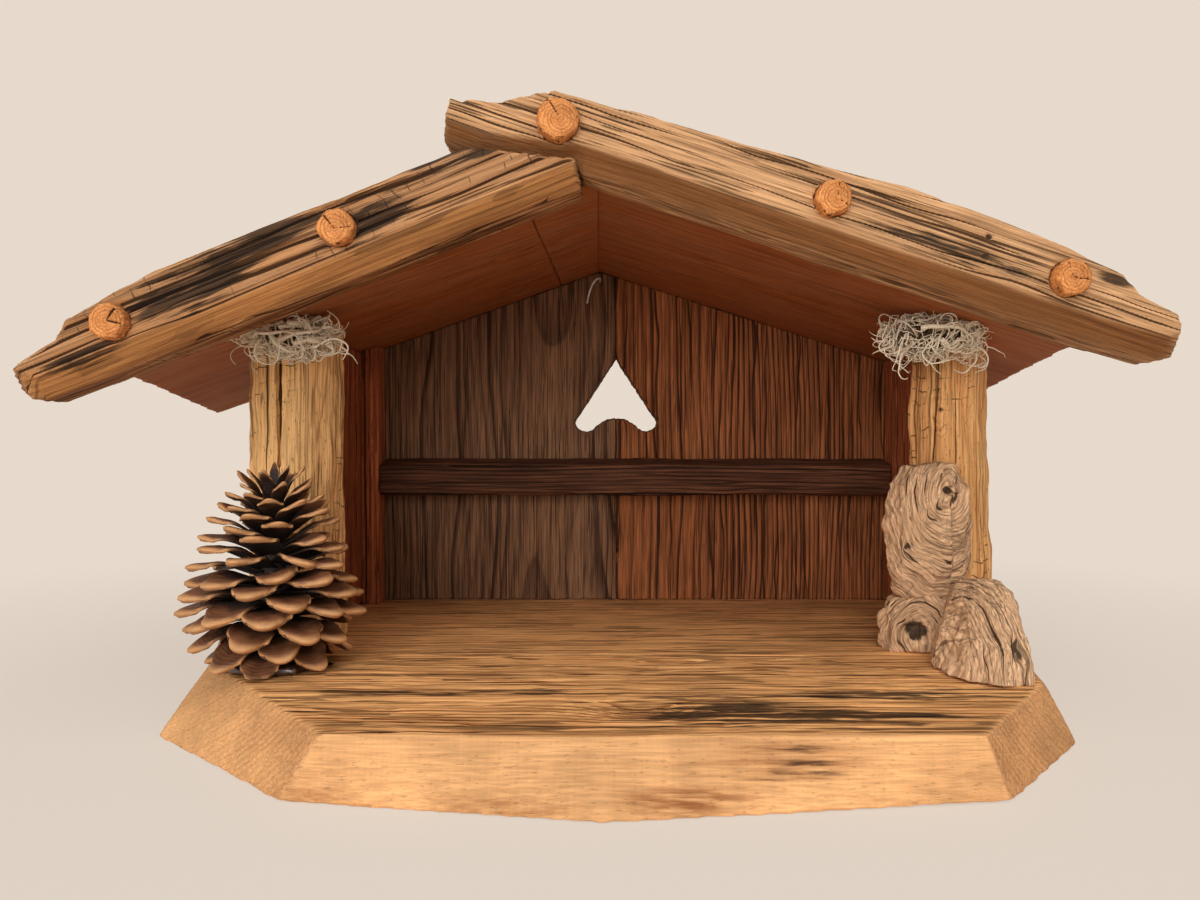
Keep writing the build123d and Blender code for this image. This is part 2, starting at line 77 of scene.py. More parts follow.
GRADIENT_COUNT = 256
GRADIENT_SEED = 11
HASH_STEPS = np.array((73856093, 19349663, 83492791), np.int64)
HASH_SEED = 2654435761
HASH_MIX = 1274126177
HASH_SHIFTS = (15, 13)
NOISE_GAIN = 1.5
gradients = np.random.default_rng(GRADIENT_SEED).normal(size=(GRADIENT_COUNT, 3))
gradients /= np.linalg.norm(gradients, axis=1)[:, None]


def noise(points, seed):
    """Smooth noise from about -1 to 1 at each point, with one cell per unit."""
    cell = np.floor(points).astype(np.int64)
    local = points - cell
    fade = local**3 * (local * (local * 6 - 15) + 10)
    total = np.zeros(len(points))
    for corner in itertools.product((0, 1), repeat=3):
        key = (cell + corner) @ HASH_STEPS + seed * HASH_SEED
        key = (key ^ (key >> HASH_SHIFTS[0])) * HASH_MIX
        key = (key ^ (key >> HASH_SHIFTS[1])) % GRADIENT_COUNT
        share = np.where(corner, fade, 1 - fade).prod(axis=1)
        total += share * np.einsum("ij,ij->i", gradients[key], local - corner)
    return total * NOISE_GAIN


def rough(points, seed, layers=3):
    """Layers of noise, each half as strong and twice as fine as the one before."""
    return sum(noise(points * 2**i, seed + i) / 2**i for i in range(layers))


def step(low, high, values):
    """Soft step from 0 at low to 1 at high."""
    share = np.clip((values - low) / (high - low), 0, 1)
    return share * share * (3 - 2 * share)


def unit(vector):
    return np.array(vector) / np.linalg.norm(vector)


# Meshes

MERGE_DISTANCE = 0.01
EASED_EDGE = (0.01, 0.1)
WORN_EDGE = (0.02, 0.16)
CURVE_ORDER = 3
CURVE_STEPS = 2


def finished(piece, node, material):
    """Hands a piece to the frame in place of its CAD node, with its finish."""
    piece.data.materials.clear()
    piece.data.materials.append(material)
    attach(piece, "root")
    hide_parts(node)


def finish_node(node, material):
    """Gives a CAD node that stays in view its finish."""
    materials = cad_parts[node].data.materials
    materials.clear()
    materials.append(material)


def box_of(node):
    """Low and high corner of a CAD node, in millimetres."""
    return [np.array(corner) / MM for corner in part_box(node)]


def new_piece(name, data):
    piece = bpy.data.objects.new(name, data)
    bpy.context.scene.collection.objects.link(piece)
    return piece


def new_mesh(name, work):
    """Mesh from a bmesh that is done with."""
    mesh = bpy.data.meshes.new(name)
    work.to_mesh(mesh)
    work.free()
    return mesh


def shaped_mesh(holder):
    """Mesh of an object as its modifiers or its curve shape it."""
    shaped = holder.evaluated_get(bpy.context.evaluated_depsgraph_get())
    return bpy.data.meshes.new_from_object(shaped)


def even_copy(node, name, voxel, sharp=True):
    """Merged copy of a CAD node with small even faces, ready to be worked."""
    work = bmesh.new()
    work.from_mesh(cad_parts[node].data)
    bmesh.ops.remove_doubles(work, verts=work.verts, dist=MERGE_DISTANCE * MM)
    piece = new_piece(name, new_mesh(name, work))
    remesh = piece.modifiers.new("even_faces", "REMESH")
    if sharp:
        length = max(piece.dimensions) / MM
        remesh.mode = "SHARP"
        remesh.octree_depth = math.ceil(math.log2(length / voxel))
        remesh.scale = length / (voxel * 2**remesh.octree_depth)
        remesh.use_remove_disconnected = False
    else:
        remesh.mode = "VOXEL"
        remesh.voxel_size = voxel * MM
    piece.data = shaped_mesh(piece)
    piece.modifiers.clear()
    piece.data.name = name
    return piece


def new_curve(name, radius, roundness=0):
    """Curve with a round section, for wires and strands."""
    line = bpy.data.curves.new(name, "CURVE")
    line.dimensions = "3D"
    line.bevel_depth = radius * MM
    line.bevel_resolution = roundness
    line.resolution_u = CURVE_STEPS
    line.use_fill_caps = True
    return line


def add_strand(line, points, radii):
    """Adds one smooth strand to a curve."""
    spline = line.splines.new("NURBS")
    spline.points.add(len(points) - 1)
    for spot, point, radius in zip(spline.points, points, radii):
        spot.co = (*(point * MM), 1)
        spot.radius = radius
    spline.order_u = CURVE_ORDER
    spline.use_endpoint_u = True


def curve_piece(line, name):
    """Mesh piece in the place of a curve."""
    holder = new_piece(name + "_line", line)
    mesh = shaped_mesh(holder)
    bpy.data.objects.remove(holder)
    bpy.data.curves.remove(line)
    mesh.shade_smooth()
    return new_piece(name, mesh)


class Surface:
    """Points, normals and edges of a piece while its surface is worked, in millimetres."""

    def __init__(self, piece):
        self.mesh = piece.data
        self.mesh.shade_smooth()
        count = len(self.mesh.vertices)
        points = np.empty(count * 3)
        self.mesh.vertices.foreach_get("co", points)
        self.points = points.reshape(-1, 3) / MM
        self.read_normals()
        edges = np.empty(len(self.mesh.edges) * 2, np.int32)
        self.mesh.edges.foreach_get("vertices", edges)
        self.ends = edges.reshape(-1, 2)
        self.shares = np.maximum(np.bincount(edges, minlength=count), 1)

    def read_normals(self):
        normals = np.empty(len(self.points) * 3, np.float32)
        self.mesh.vertices.foreach_get("normal", normals)
        self.normals = normals.reshape(-1, 3).astype(float)

    def write_points(self):
        self.mesh.vertices.foreach_set("co", (self.points * MM).astype(np.float32).ravel())
        self.mesh.update()

    def mean_of_neighbours(self, values):
        first, second = self.ends.T
        count = len(self.points)
        total = np.bincount(first, values[second], count) + np.bincount(second, values[first], count)
        return total / self.shares

    def smoothed(self, values, rounds):
        for _ in range(rounds):
            values = self.mean_of_neighbours(values)
        return values

    def middles(self):
        """Middle of the neighbours of each point."""
        return np.stack([self.mean_of_neighbours(column) for column in self.points.T], axis=1)

    def bulge(self, rounds):
        """How far each point stands out from its neighbours: high along outer edges."""
        out = np.einsum("ij,ij->i", self.points - self.middles(), self.normals)
        return self.smoothed(out, rounds)

    def edges(self, rounds, voxel):
        """Mask of the outer edges, which wear most."""
        return step(*WORN_EDGE, self.bulge(rounds) / voxel)

    def ease(self, rounds, voxel):
        """Rounds the sharp edges a little, so that they run smoothly."""
        share = self.smoothed(step(*EASED_EDGE, np.abs(self.bulge(2)) / voxel), 2)[:, None]
        for _ in range(rounds):
            self.points += (self.middles() - self.points) * share
        self.write_points()
        self.read_normals()

    def push(self, depth):
        """Moves each point along its normal."""
        self.points += self.normals * depth[:, None]

    def keep_above(self, floor):
        self.points[:, 2] = np.maximum(self.points[:, 2], floor)

    def store(self, **marks):
        """Writes the points back, and keeps the marks for the materials to read."""
        for name, values in marks.items():
            kind, field = ("FLOAT", "value") if values.ndim == 1 else ("FLOAT_VECTOR", "vector")
            layer = self.mesh.attributes.new(name, kind, "POINT")
            layer.data.foreach_set(field, values.astype(np.float32).ravel())
        self.write_points()


@dataclass
class Timber:
    """How one timber piece grew and aged, and where it takes painted shade. Lengths are millimetres along its
    own grain.
    """

    origin: tuple
    along: tuple
    across: tuple
    voxel: float = 0.8
    sharp: bool = True
    seed: int = 0
    pith: tuple = (-60.0, 30.0)
    ring: float = 2.0
    wander: float = 3.0
    relief: float = 0.1
    lumps: tuple = (0.3, 40.0)
    split_depth: float = 0.6
    split_size: tuple = (70.0, 3.0)
    split_share: float = 0.0
    split_width: float = 0.5
    girth: float = 0.0
    worn: float = 0.5
    eased: int = 3
    fresh: tuple = ()
    fade: int = 2
    soot: tuple = ()
    stain: tuple = ()
    knots: tuple = ()
    holes: tuple = ()


# Sizes of the noises on timber, along, across and through its grain
RING_NOISE = (130, 45, 45)
EDGE_NOISE = (14, 7, 7)
FIBRE_NOISE = (12, 1.8, 1.8)
LUMP_STRETCH = (1.6, 1, 1)

# Steps between the seeds of the pieces, and of the noises on one piece
SEED_STRIDE = 97
SPLIT_SEED, EDGE_SEED, LUMP_SEED, FIBRE_SEED = 20, 40, 50, 60

SPOT_FADE = (0.3, 1.15)
LANE_REACH = (0.2, 0.34)
HOLE_DEPTH = 1.2
# Painted shade: holes are darkened towards char colour
HOLE_SHADE = 1.5
FRESH_CALM = 0.8
END_CALM = 0.8
FIBRE_SHARE = 0.8


def spots(grain, places):
    """Soft marks at places in the grain, each with its reach along, across and through."""
    total = np.zeros(len(grain))
    for place, reach, strength in places:
        apart = np.linalg.norm((grain - place) / reach, axis=1)
        total = np.maximum(total, strength * (1 - step(*SPOT_FADE, apart)))
    return total


def cracks(face, length, gap, seed):
    """Cracks in lanes a gap apart: distance to the nearest, how near it is, and what opens it."""
    sway = 0.45 * rough(face / (length * 0.6, gap * 3, gap * 3), seed, 2)
    lane = (face[:, 1] + 0.6 * face[:, 2]) / gap + sway
    number = np.floor(lane)
    still = np.zeros(len(face))
    middle = 0.5 + 0.2 * noise(np.stack([number * 3.7 + 0.3, still, still + 0.5], 1), seed + 5)
    apart = lane - number - middle
    opening = noise(np.stack([face[:, 0] / length, number * 7.31 + 0.4, still + 0.3], 1), seed + 6)
    return apart * gap, 1 - step(*LANE_REACH, np.abs(apart)), opening


def growth_rings(grain, timber, seed):
    """Number of the ring that each point lies in, bent round the knots."""
    radius = np.hypot(*(grain[:, 1:] - np.array(timber.pith)).T)
    radius += timber.wander * rough(grain / RING_NOISE, seed, 2)
    for place, reach, lift in timber.knots:
        radius += lift * np.exp(-np.sum(((grain - place) / reach) ** 2, axis=1))
    return radius / timber.ring


def age_timber(node, timber):
    """Works a copy of a board or post: rings, splits, worn edges and dents."""
    piece = even_copy(node, node + "_aged", timber.voxel, timber.sharp)
    surface = Surface(piece)
    surface.ease(timber.eased, timber.voxel)
    along, across = unit(timber.along), unit(timber.across)
    axes = np.stack([along, across, np.cross(along, across)])
    grain = (surface.points - np.array(timber.origin)) @ axes.T
    seed = timber.seed * SEED_STRIDE

    ring = growth_rings(grain, timber, seed)
    tooth = ring - np.floor(ring)
    late = step(0.3, 0.85, tooth) * (1 - step(0.92, 1.0, tooth))
    fresh = np.zeros(len(grain))
    if timber.fresh:
        facing, low, high = timber.fresh
        fresh = surface.smoothed(step(low, high, surface.normals @ unit(facing)), timber.fade)
    ends = step(0.35, 0.8, np.abs(surface.normals @ along))

    # Splits: on a round post they run side by side round its girth
    face = grain
    if timber.girth:
        turn = np.arctan2(grain[:, 1], -grain[:, 2])
        face = np.stack([grain[:, 0], turn * timber.girth, np.hypot(*grain[:, 1:].T)], 1)
    split, near, opening = cracks(face, *timber.split_size, seed + SPLIT_SEED)
    opened = near * step(-0.05, 0.4, opening + timber.split_share)
    opened *= (1 - fresh) * (1 - END_CALM * ends)
    width = timber.split_width * (0.3 + 0.7 * opened)
    gape = opened * (1 - step(0.0, 1.0, np.abs(split) / width))

    # Relief, less of it on fresh wood
    edge = surface.edges(4, timber.voxel)
    chewed = 0.35 + 0.65 * step(-0.5, 0.6, rough(grain / EDGE_NOISE, seed + EDGE_SEED))
    holes = spots(grain, timber.holes)
    rugged = 1 - FRESH_CALM * fresh
    depth, size = timber.lumps
    push = depth * rough(grain / (size * np.array(LUMP_STRETCH)), seed + LUMP_SEED, 3)
    push += timber.relief * (late - 0.5) * rugged
    push += timber.relief * FIBRE_SHARE * rough(grain / FIBRE_NOISE, seed + FIBRE_SEED, 2) * rugged
    push -= timber.split_depth * gape
    push -= timber.worn * edge * chewed
    push -= HOLE_DEPTH * holes
    surface.push(push)
    surface.keep_above(CAD_LOW[2] / MM)
    # Soot and stain marks hold real char and stains on some pieces and painted shade on others; holes get
    # painted shade
    surface.store(
        grain=face, ring=ring, split=split, opened=opened, fresh=fresh, ends=ends,
        stain=spots(grain, timber.stain), soot=spots(grain, timber.soot) + HOLE_SHADE * holes,
        wear=surface.smoothed(edge * (0.4 + 0.6 * chewed), 2),
    )
    return piece


# Shader nodes


def linear(red, green, blue):
    """Colour as it shows on a screen, in 0 to 255, to the values that shaders use."""
    shown = np.array((red, green, blue)) / 255
    return tuple(np.where(shown <= 0.04045, shown / 12.92, ((shown + 0.055) / 1.055) ** 2.4))


class Value:
    """An output in a shader tree. Sums and products of numbers add math nodes."""

    def __init__(self, tree, socket):
        self.tree = tree
        self.socket = socket

    def __add__(self, other):
        return self.tree.calc("ADD", self, other)

    def __sub__(self, other):
        return self.tree.calc("SUBTRACT", self, other)

    def __rsub__(self, other):
        return self.tree.calc("SUBTRACT", other, self)

    def __mul__(self, other):
        return self.tree.calc("MULTIPLY", self, other)

    def __rtruediv__(self, other):
        return self.tree.calc("DIVIDE", other, self)

    def __abs__(self):
        return self.tree.calc("ABSOLUTE", self)


class Tree:
    """Short ways to add nodes to a shader tree."""

    def __init__(self, tree):
        self.tree = tree

    def put(self, socket, value):
        if isinstance(value, Value):
            self.tree.links.new(value.socket, socket)
        elif socket.type == "RGBA" and len(value) == 3:
            socket.default_value = (*value, 1)
        else:
            socket.default_value = value

    def node(self, kind, values=(), **settings):
        node = self.tree.nodes.new("ShaderNode" + kind)
        for name, value in settings.items():
            setattr(node, name, value)
        for key, value in dict(values).items():
            self.put(node.inputs[key], value)
        return node

    def add(self, kind, values=(), output=0, **settings):
        """Adds a node, and gives one of its outputs."""
        return Value(self, self.node(kind, values, **settings).outputs[output])

    def mark(self, name):
        """A number that a piece keeps at each of its points."""
        return self.add("Attribute", output="Fac", attribute_name=name)

    def object_place(self):
        return self.add("TexCoord", output="Object")

    def move(self, operation, first, second):
        return self.add("VectorMath", {0: first, 1: second}, operation=operation)

    def parts(self, vector):
        return [Value(self, part) for part in self.node("SeparateXYZ", {0: vector}).outputs]

    def join(self, *parts):
        return self.add("CombineXYZ", dict(enumerate(parts)))

    def calc(self, operation, first, second=0.0):
        return self.add("Math", {0: first, 1: second}, operation=operation)

    def most(self, first, *others):
        """The largest of some numbers."""
        for other in others:
            first = self.calc("MAXIMUM", first, other)
        return first

    def step(self, value, low, high, start=0.0, end=1.0):
        values = {0: value, 1: low, 2: high, 3: start, 4: end}
        return self.add("MapRange", values, interpolation_type="SMOOTHSTEP")

    def noise(self, vector, sizes=(1, 1, 1), detail=2.0):
        laid = self.move("MULTIPLY", vector, sizes)
        return self.add("TexNoise", {"Vector": laid, "Scale": 1.0, "Detail": detail})

    def chance(self, number):
        """A number from 0 to 1 for each whole number."""
        return self.add("TexWhiteNoise", {"W": number}, noise_dimensions="1D")

    def cracks(self, vector, length, gap, width, low, high):
        """Thin cracks in lanes a gap apart, each open here and there along its length."""
        along, across, through = self.parts(vector)
        sway = self.noise(vector, (0.6 / length, 0.3 / gap, 0.3 / gap))
        lane = across * (1 / gap) + through * (0.7 / gap) + sway * 1.6
        number = self.calc("FLOOR", lane)
        middle = number + self.chance(number) * 0.5 + 0.25
        where = self.join(along * (1 / length), number * 7.31)
        wide = self.step(self.noise(where), low, high) * (width / gap)
        return self.step(abs(lane - middle), wide * 0.7, wide, 1.0, 0.0)

    def warped(self, vector, fineness, reach):
        """Places shifted about by noise."""
        values = {"Vector": vector, "Scale": fineness, "Detail": 2.0}
        shift = self.move("SUBTRACT", self.add("TexNoise", values, output=1), (0.5,) * 3)
        return self.move("ADD", vector, self.move("MULTIPLY", shift, (reach,) * 3))

    def mix(self, share, first, second, way="MIX"):
        values = {0: share, 6: first, 7: second}
        return self.add("Mix", values, output=2, data_type="RGBA", blend_type=way)

    def shade(self, colour, share):
        """Colour made darker or lighter by a share round 1."""
        grey = self.add("CombineColor", {0: share, 1: share, 2: share})
        return self.mix(1.0, colour, grey, "MULTIPLY")


def new_group(name, inputs, outputs):
    """Ways to add nodes to a new shader group, what it is given, and its output sockets."""
    group = bpy.data.node_groups.new(name, "ShaderNodeTree")
    for way, sockets in (("INPUT", inputs), ("OUTPUT", outputs)):
        for label, kind in sockets.items():
            group.interface.new_socket(label, in_out=way, socket_type=kind)
    tree = Tree(group)
    given = {socket.name: Value(tree, socket) for socket in group.nodes.new("NodeGroupInput").outputs}
    return tree, given, group.nodes.new("NodeGroupOutput").inputs


TIMBER_GROUP = "timber_surface"
TIMBER_OUTPUTS = {"Colour": "NodeSocketColor", "Roughness": "NodeSocketFloat", "Height": "NodeSocketFloat"}
TIMBER_SHADES = ("Light", "Dark", "Fresh", "Grey")
TIMBER_AMOUNTS = {
    "Figure": 0.5, "Planed": 0.4, "Fibre": 0.35, "Checks": 0.3, "Pores": 0.0,
    "Cross": 0.0, "Greying": 0.0, "Saw": 0.0, "Line": 0.2, "Coarse": 1.0,
}
TIMBER_GLOSS = 0.12
TIMBER_BUMP = 0.6 * MM
# Colour of char, and of the painted shade in holes, cracks and hollows
CHAR_AND_SHADE = linear(30, 23, 19)
# Share of painted shade in the cracks, and of char and painted shade where the soot mark is
CRACK_SHADE_COVER = CHAR_AND_SHADE_COVER = 0.88

# Fine cracks: length, gap, width, and the part of the noise that opens them
LONG_CRACKS = (60.0, 1.9, 0.36, 0.48, 0.6)
SHORT_CRACKS = (20.0, 1.0, 0.25, 0.5, 0.6)
CROSS_CRACKS = (5.0, 4.2, 0.22, 0.5, 0.58)


def timber_group():
    """Grain of old timber from the marks that its surface keeps."""
    inputs = dict.fromkeys((*TIMBER_SHADES, "Crack Shade"), "NodeSocketColor")
    inputs.update(dict.fromkeys(TIMBER_AMOUNTS, "NodeSocketFloat"))
    tree, given, out = new_group(TIMBER_GROUP, inputs, TIMBER_OUTPUTS)
    grain = tree.add("Attribute", output="Vector", attribute_name="grain")
    ring, split, opened, soot, stain, wear, fresh, ends = (
        tree.mark(name) for name in ("ring", "split", "opened", "soot", "stain", "wear", "fresh", "ends")
    )
    aged = 1.0 - fresh
    fine = tree.step(tree.noise(grain, (0.05, 1.7, 1.7), 3.0), 0.28, 0.72)
    wide = tree.noise(grain, (0.014, 0.3, 0.3), 3.0)
    patch = tree.noise(grain, (0.018, 0.06, 0.06))
    streak = tree.noise(grain, (0.03, 0.9, 0.9), 4.0)

    # Rings: late wood darkens to a sharp edge, more in some years than in others
    tooth = tree.calc("FRACT", ring)
    late = tree.step(tooth, 0.4, 0.9) * tree.step(tooth, 0.94, 1.0, 1.0, 0.0)
    late = late * tree.step(tree.chance(tree.calc("FLOOR", ring)), 0.0, 1.0, 0.35, 1.1)

    # Wood: aged, or fresh where it was cut, with hatched ends and fine fibres
    tone = late * given["Figure"] + tree.step(wide, 0.3, 0.75, 0.0, 0.35)
    colour = tree.mix(tone, given["Light"], given["Dark"])
    planed = given["Planed"] + ends * 0.2
    colour = tree.mix(fresh, colour, tree.mix(late * planed, given["Fresh"], given["Dark"]))
    hatch = abs(tree.noise(tree.warped(grain, 0.2, 2.0), (0.3, 0.8, 0.8), 0.0) - 0.5)
    hatch = tree.step(hatch, 0.05, 0.1, 1.0, 0.0)
    colour = tree.mix(ends * (hatch * 0.25 + 0.2), colour, given["Dark"])
    fibre = given["Fibre"] * tree.step(fresh, 0.0, 1.0, 1.0, 0.55)
    shade = (fine - 0.5) * fibre + 1.0
    colour = tree.shade(colour, shade)
    colour = tree.shade(colour, tree.step(patch, 0.25, 0.75, 0.82, 1.14))

    # Weathering, and stains: real on some pieces, painted shade on others
    greyed = given["Greying"] * aged * tree.step(patch + fine * 0.3, 0.5, 0.78)
    colour = tree.mix(greyed, colour, tree.shade(given["Grey"], shade))
    stained = stain * tree.step(streak, 0.36, 0.62, 0.25, 1.0)
    colour = tree.mix(stained, colour, tree.shade(given["Dark"], 0.8))

    # Saw marks across fresh wood
    saw = tree.noise(grain, (1.3, 0.05, 0.05), 3.0) - 0.5
    band = tree.step(tree.noise(grain, (0.075, 0.01, 0.01)), 0.4, 0.6) - 0.5
    sawn = given["Saw"] * fresh * (saw * 0.6 + band * 0.45)
    colour = tree.shade(colour, sawn * 0.9 + 1.0)

    # Cracks in painted shade: fine cracks along the grain, pores, cracks across it, and the large splits
    finer = 1.0 / given["Coarse"]
    laid = tree.move("MULTIPLY", grain, tree.join(1.0, finer, finer))
    dash = tree.most(tree.cracks(laid, *LONG_CRACKS), tree.cracks(laid, *SHORT_CRACKS) * 0.9)
    worked = aged + fresh * given["Planed"] * 0.6
    crowd = tree.step(tree.noise(grain, (0.02, 0.12, 0.12)), 0.36, 0.58, 0.4, 1.0)
    dash = dash * given["Checks"] * worked * crowd * tree.step(ends, 0.0, 1.0, 1.0, 0.1)
    pore = tree.step(tree.noise(grain, (0.45, 1.9, 1.9), 1.0), 0.64, 0.73) * given["Pores"]
    along, across, through = tree.parts(grain)
    cross = tree.cracks(tree.join(across, along, through), *CROSS_CRACKS)
    cross = cross * given["Cross"] * aged * tree.step(patch, 0.44, 0.54)
    width = given["Line"] * opened
    line = tree.step(abs(split), width * 0.6, width, 1.0, 0.0)
    shaded_cut = tree.most(dash, pore, cross, line)
    colour = tree.mix(shaded_cut * CRACK_SHADE_COVER, colour, given["Crack Shade"])

    # Char, and painted shade in holes, cracks and hollows, in ragged streaks; and wood rubbed pale along the
    # edges
    ragged = tree.noise(tree.warped(grain, 0.1, 3.0), (0.06, 0.4, 0.4), 4.0)
    burnt_and_shaded = soot + (streak - 0.5) * 2.0 + (ragged - 0.5) * 1.4
    burnt_and_shaded = tree.step(burnt_and_shaded, 0.28, 0.72) * tree.step(soot, 0.0, 0.25)
    colour = tree.mix(burnt_and_shaded * CHAR_AND_SHADE_COVER, colour, CHAR_AND_SHADE)
    colour = tree.shade(colour, wear * 0.22 + 1.0)

    tree.put(out["Colour"], colour)
    tree.put(out["Roughness"], fine * 0.2 + 0.6 + shaded_cut * 0.1)
    tree.put(out["Height"], fine * 0.3 + late * aged * 0.3 + sawn * 0.35 - shaded_cut * 0.9)
    return tree.tree


def new_material(name):
    """New material, with ways to add nodes to it, and its shader."""
    material = bpy.data.materials.new(name)
    material.use_nodes = True
    return material, Tree(material.node_tree), material.node_tree.nodes["Principled BSDF"]


def dress(tree, shader, colour, roughness, height, bump, distance):
    """Gives a material's shader its colour, roughness and bump."""
    lift = tree.add("Bump", {"Strength": bump, "Distance": distance, "Height": height})
    for label, value in (("Base Color", colour), ("Roughness", roughness), ("Normal", lift)):
        tree.put(shader.inputs[label], value)


def timber_material(name, colours, finish, bump=0.5, **amounts):
    """Material of one timber finish, with its own colours and amounts of each mark."""
    material, tree, shader = new_material(name)
    group = bpy.data.node_groups.get(TIMBER_GROUP) or timber_group()
    surface = tree.node("Group", node_tree=group)
    for label in TIMBER_SHADES:
        tree.put(surface.inputs[label], getattr(colours, f"{finish}_{label.lower()}"))
    tree.put(surface.inputs["Crack Shade"], colours.crack_shade)
    for label, value in {**TIMBER_AMOUNTS, **amounts}.items():
        surface.inputs[label].default_value = value
    shader.inputs["Specular IOR Level"].default_value = TIMBER_GLOSS
    dress(tree, shader, *(Value(tree, surface.outputs[label]) for label in TIMBER_OUTPUTS), bump, TIMBER_BUMP)
    return material


def plain_material(name, light, dark, sizes, roughness, bump=0.3, metallic=0.0, coat=0.0):
    """Material of one small piece: two colours mottled together, with a fine bump."""
    material, tree, shader = new_material(name)
    place = tree.object_place()
    mottle = tree.noise(place, sizes, 4.0)
    fine = tree.noise(place, tuple(size * 6 for size in sizes))
    colour = tree.mix(tree.step(mottle, 0.35, 0.65), dark, light)
    gloss = tree.step(fine, 0.3, 0.7, roughness * 0.75, roughness * 1.2)
    shader.inputs["Metallic"].default_value = metallic
    shader.inputs["Coat Weight"].default_value = coat
    dress(tree, shader, colour, gloss, mottle + fine * 0.4, bump, distance=0.3 * MM)
    return material


# Settings that a user would change


def colour(label, note, *shown):
    return FloatVectorProperty(
        name=label, description=note, subtype="COLOR", size=3, min=0, max=1, default=linear(*shown)
    )


# Timber finishes: what each is on, and its early, late and cut wood and its weathering
TIMBER_FINISHES = {
    "base": ("the base", (255, 190, 122), (150, 82, 36), (234, 176, 119), (120, 96, 72)),
    "left_barge": ("the left barge board", (214, 156, 104), (136, 84, 48), (188, 130, 76), (104, 90, 78)),
    "right_barge": ("the right barge board", (222, 171, 122), (150, 104, 66), (138, 88, 49), (150, 124, 100)),
    "roof": ("the roof boards", (192, 111, 58), (134, 72, 36), (176, 112, 68), (128, 102, 82)),
    "left_wall": ("the left back board", (142, 100, 70), (62, 37, 24), (140, 96, 66), (106, 80, 60)),
    "right_wall": ("the right back board", (166, 97, 54), (64, 30, 14), (150, 96, 62), (120, 84, 62)),
    "side_wall": ("the side walls", (192, 108, 66), (74, 36, 22), (150, 92, 58), (110, 82, 64)),
    "rail": ("the rail", (104, 64, 42), (38, 22, 15), (120, 72, 46), (90, 70, 56)),
    "post": ("the posts", (255, 202, 134), (240, 170, 106), (220, 164, 108), (205, 170, 134)),
    "peg": ("the pegs", (224, 150, 88), (158, 86, 42), (232, 160, 98), (130, 84, 50)),
    "bark": ("the bark", (240, 194, 150), (146, 102, 68), (190, 150, 112), (200, 164, 130)),
}
SHADE_NOTES = ("Pale early wood of ", "Dark late wood of ", "Planed, sawn or broken wood of ", "Weathering of ")


def timber_colours():
    """Colour settings of all timber finishes."""
    settings = {}
    for finish, (name, *shades) in TIMBER_FINISHES.items():
        for label, note, shown in zip(TIMBER_SHADES, SHADE_NOTES, shades):
            key = f"{finish}_{label.lower()}"
            settings[key] = colour(key.replace("_", " ").capitalize(), note + name, *shown)
    return settings


class StableColours(bpy.types.PropertyGroup):
    """Colours of the timber, the trim and the stage"""

    # Painted shade: the dark colour drawn into cracks, checks, pores and splits
    crack_shade: colour("Cracks", "Bottom of cracks and checks", 46, 26, 15)
    cone_tip: colour("Cone scale tips", "Tan faces of the cone's scales", 118, 71, 41)
    cone_rim: colour("Cone scale rims", "Pale rims of the cone's scales", 204, 150, 98)
    # Partly painted shade: darker wood at the roots, drawn near black for the shade between the scales
    cone_root_and_shade: colour("Cone scale roots", "Dark roots of the cone's scales", 38, 22, 14)
    lichen_pale: colour("Lichen strands", "Outer strands of the lichen", 252, 238, 212)
    # Painted shade: the inner strands are darker where shade falls inside the tuft
    lichen_shaded_heart: colour("Lichen heart", "Inner strands of the lichen", 108, 90, 62)
    glue: colour("Glue", "Set glue under the cone", 52, 32, 20)
    steel: colour("Steel", "Nails, screws and hook", 150, 146, 142)
    backdrop: colour("Backdrop", "Floor and background", 231, 218, 204)
    __annotations__.update(timber_colours())


class StableSizes(bpy.types.PropertyGroup):
    """Sizes of the detail on the timber and the trim"""

    board_ring: FloatProperty(
        name="Ring spacing", description="Distance between rings of the boards in mm",
        default=2.1, min=0.5, max=6,
    )
    crack_depth: FloatProperty(
        name="Crack depth", description="Depth of the deepest weather cracks in mm",
        default=1.4, min=0, max=3,
    )
    strand_count: IntProperty(
        name="Lichen strands", description="Long strands in each tuft of lichen",
        default=230, min=20, max=900,
    )
    strand_radius: FloatProperty(
        name="Strand radius", description="Radius of a lichen strand in mm", default=0.4, min=0.1, max=1
    )
    scale_count: IntProperty(
        name="Cone scales", description="Woody scales on the pine cone", default=96, min=20, max=120
    )


class StableStage(bpy.types.PropertyGroup):
    """Camera and light"""

    camera_back: FloatProperty(
        name="Camera distance", description="Camera in front of the origin", default=0.302, unit="LENGTH"
    )
    camera_height: FloatProperty(
        name="Camera height", description="Camera above the table", default=0.083, unit="LENGTH"
    )
    camera_drop: FloatProperty(
        name="Camera drop", description="How far the camera looks down",
        default=math.radians(0.318), unit="ROTATION",
    )
    camera_lens: FloatProperty(name="Lens", description="Focal length in mm", default=27.0, min=10, max=200)
    key_power: FloatProperty(
        name="Key light", description="Large soft lamp in front", default=9.8, unit="POWER"
    )
    top_power: FloatProperty(
        name="Top light", description="Soft lamp above", default=5.6, unit="POWER"
    )
    fill_power: FloatProperty(
        name="Fill light", description="Soft lamp at the side", default=1.0, unit="POWER"
    )
    room_light: FloatProperty(
        name="Room light", description="Even light from all round",
        default=0.3, min=0, soft_max=2, subtype="FACTOR",
    )


# Pieces

LEFT_BARGE_PITCH = math.radians(22.0)
RIGHT_BARGE_PITCH = math.radians(18.4)
LEFT_PITCH = math.radians(19.6)
RIGHT_PITCH = math.radians(17.5)
RIDGE = 158.0
BASE_TOP = 16.0
BASE_SEAM = -15.0


def down_slope(side, pitch):
    """Directions down a slope and up across it: side is -1 on the left and 1 on the right."""
    rise, run = math.sin(pitch), math.cos(pitch)
    return (side * run, 0, -rise), (side * rise, 0, run)


